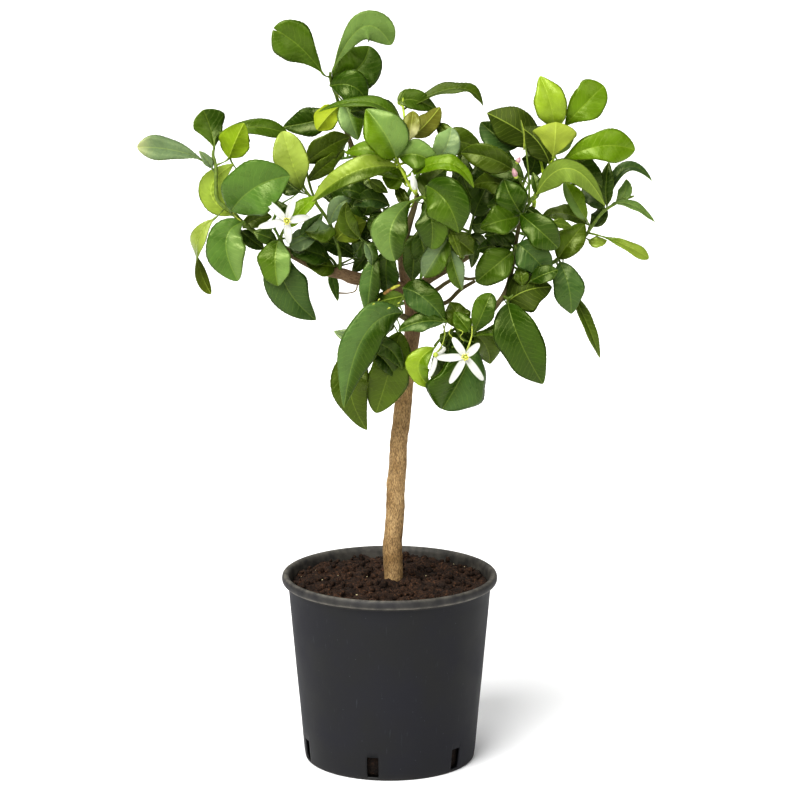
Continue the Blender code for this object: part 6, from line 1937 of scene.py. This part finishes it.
@dataclass(frozen=True)
class Studio:
    """A pale floor, a white surround and wide soft lights from above: a key from the left and two fills."""

    surround: float = 0.2
    floor_colour: str = "#f6f6f6"
    floor_half: float = 30.0
    # Each light's lean from straight down and its turn in degrees, the width of the sky it fills, its strength
    lights: tuple = (("key", 46.0, -32.0, 42.0, 3.1), ("fill", 56.0, 44.0, 34.0, 0.6),
                     ("top", 20.0, -150.0, 44.0, 0.8))

    def build(self) -> None:
        """Makes the floor, the surround and the lights, and sets the Standard view with the High Contrast look."""
        scene = bpy.context.scene
        skin = Skin("studio_floor")
        corners = np.array([(-1, -1, 0), (1, -1, 0), (1, 1, 0), (-1, 1, 0)]) * self.floor_half
        skin.add_rings(np.stack([corners, corners - (0, 0, 0.02)]))
        # Uncoated white paper, so dull that no light mirrors in it
        paper = Graph("white_paper_sweep").finish(Base_Color=rgba(self.floor_colour), Roughness=1.0)
        skin.build([paper])
        scene.world = bpy.data.worlds.new("studio")
        scene.world.use_nodes = True
        background = scene.world.node_tree.nodes["Background"]
        background.inputs["Color"].default_value = (1.0, 1.0, 1.0, 1.0)
        background.inputs["Strength"].default_value = self.surround
        for name, lean, turn, width, strength in self.lights:
            data = bpy.data.lights.new(name, "SUN")
            data.angle = math.radians(width)
            data.energy = strength
            made = bpy.data.objects.new(name, data)
            made.rotation_euler = (math.radians(lean), 0.0, math.radians(turn))
            scene.collection.objects.link(made)
        scene.view_settings.view_transform = "Standard"
        scene.view_settings.look = "High Contrast"


def main() -> None:
    """Builds the studio and every piece in order."""
    Studio().build()
    EYE.camera()
    foliage = [CitrusLeaf().make(), GreenStem().make()]
    peat, petal = DampPeat().make(), WaxyPetal().make()
    # Bud skins and calyx are thin and waxy, so they gleam softly. Pollen is a matt dust. Filaments and pistil are
    # fleshy, with a faint sheen. Perlite is rock puffed to a foam, rough and quite dull.
    white = SmallFinish("white_bud_skin", "#dddcd4", "#cfd2c4", 0.42, 6.0, 0.2).make()
    pink = SmallFinish("pink_bud_skin", "#c4a0a2", "#a88288", 0.5, 3.0, 0.2).make()
    calyx = SmallFinish("green_calyx", "#b9c25a", "#94a53c", 0.5, 1.5).make()
    anther = SmallFinish("pollen_anther", "#dcd860", "#c9c450", 0.7, 0.6).make()
    filament = SmallFinish("pale_filament", "#f2f3df", "#e6e8c4", 0.5, 2.0).make()
    pistil = SmallFinish("green_pistil", "#c9d06a", "#b3bc4e", 0.45, 1.0).make()
    perlite = SmallFinish("perlite", "#d8d2ae", "#a89c78", 0.9, 0.8, 0.4).make()
    place(NurseryPot().build(MouldedPlastic().make()), "pot_plastic", "pot")
    soil = Soil()
    place(soil.bed(peat), "potting_soil", "soil")
    place(soil.loose("soil_clods", soil.clods, (0.8, 5.0), 31, peat), "potting_soil")
    place(soil.loose("perlite_grains", 30, (0.7, 1.6), 35, perlite, soil.grains), "potting_soil")
    wood = Wood()
    limbs = wood.paths()
    place(wood.build(CitrusBark().make()), "bark", "trunk_and_branches")
    for name, shoot in SHOOTS.items():
        place(Foliage(name, shoot, YOUNG_STEMS.get(name, STEM_GREEN)).build(limbs, foliage), "leaf", name)
    for name, rows in BACK_SHOOTS.items():
        place(Foliage(name, back_shoot(*rows), BACK_STEM_GREEN, False).build(limbs, foliage), "leaf", name)
    for name, bloom in BLOOMS.items():
        flower = Blossom(name, bloom, 6.0 if name == "flower_small" else 8.4)
        place(flower.petals([petal, calyx]), "petal", name + "_petals")
        place(flower.heart([anther, filament, pistil]), "anther", name + "_middle")
    for name, (base, tip, wide) in BUDS.items():
        skin, slot = (white, "petal") if name == "bud_white" else (pink, "bud")
        place(Bud(name, base, tip, wide).build([skin, calyx]), slot, name)
    place(Twigs().build(foliage[1]), "leaf")


if __name__ == "__main__":
    logging.basicConfig(level=logging.INFO, format="%(message)s")
    main()
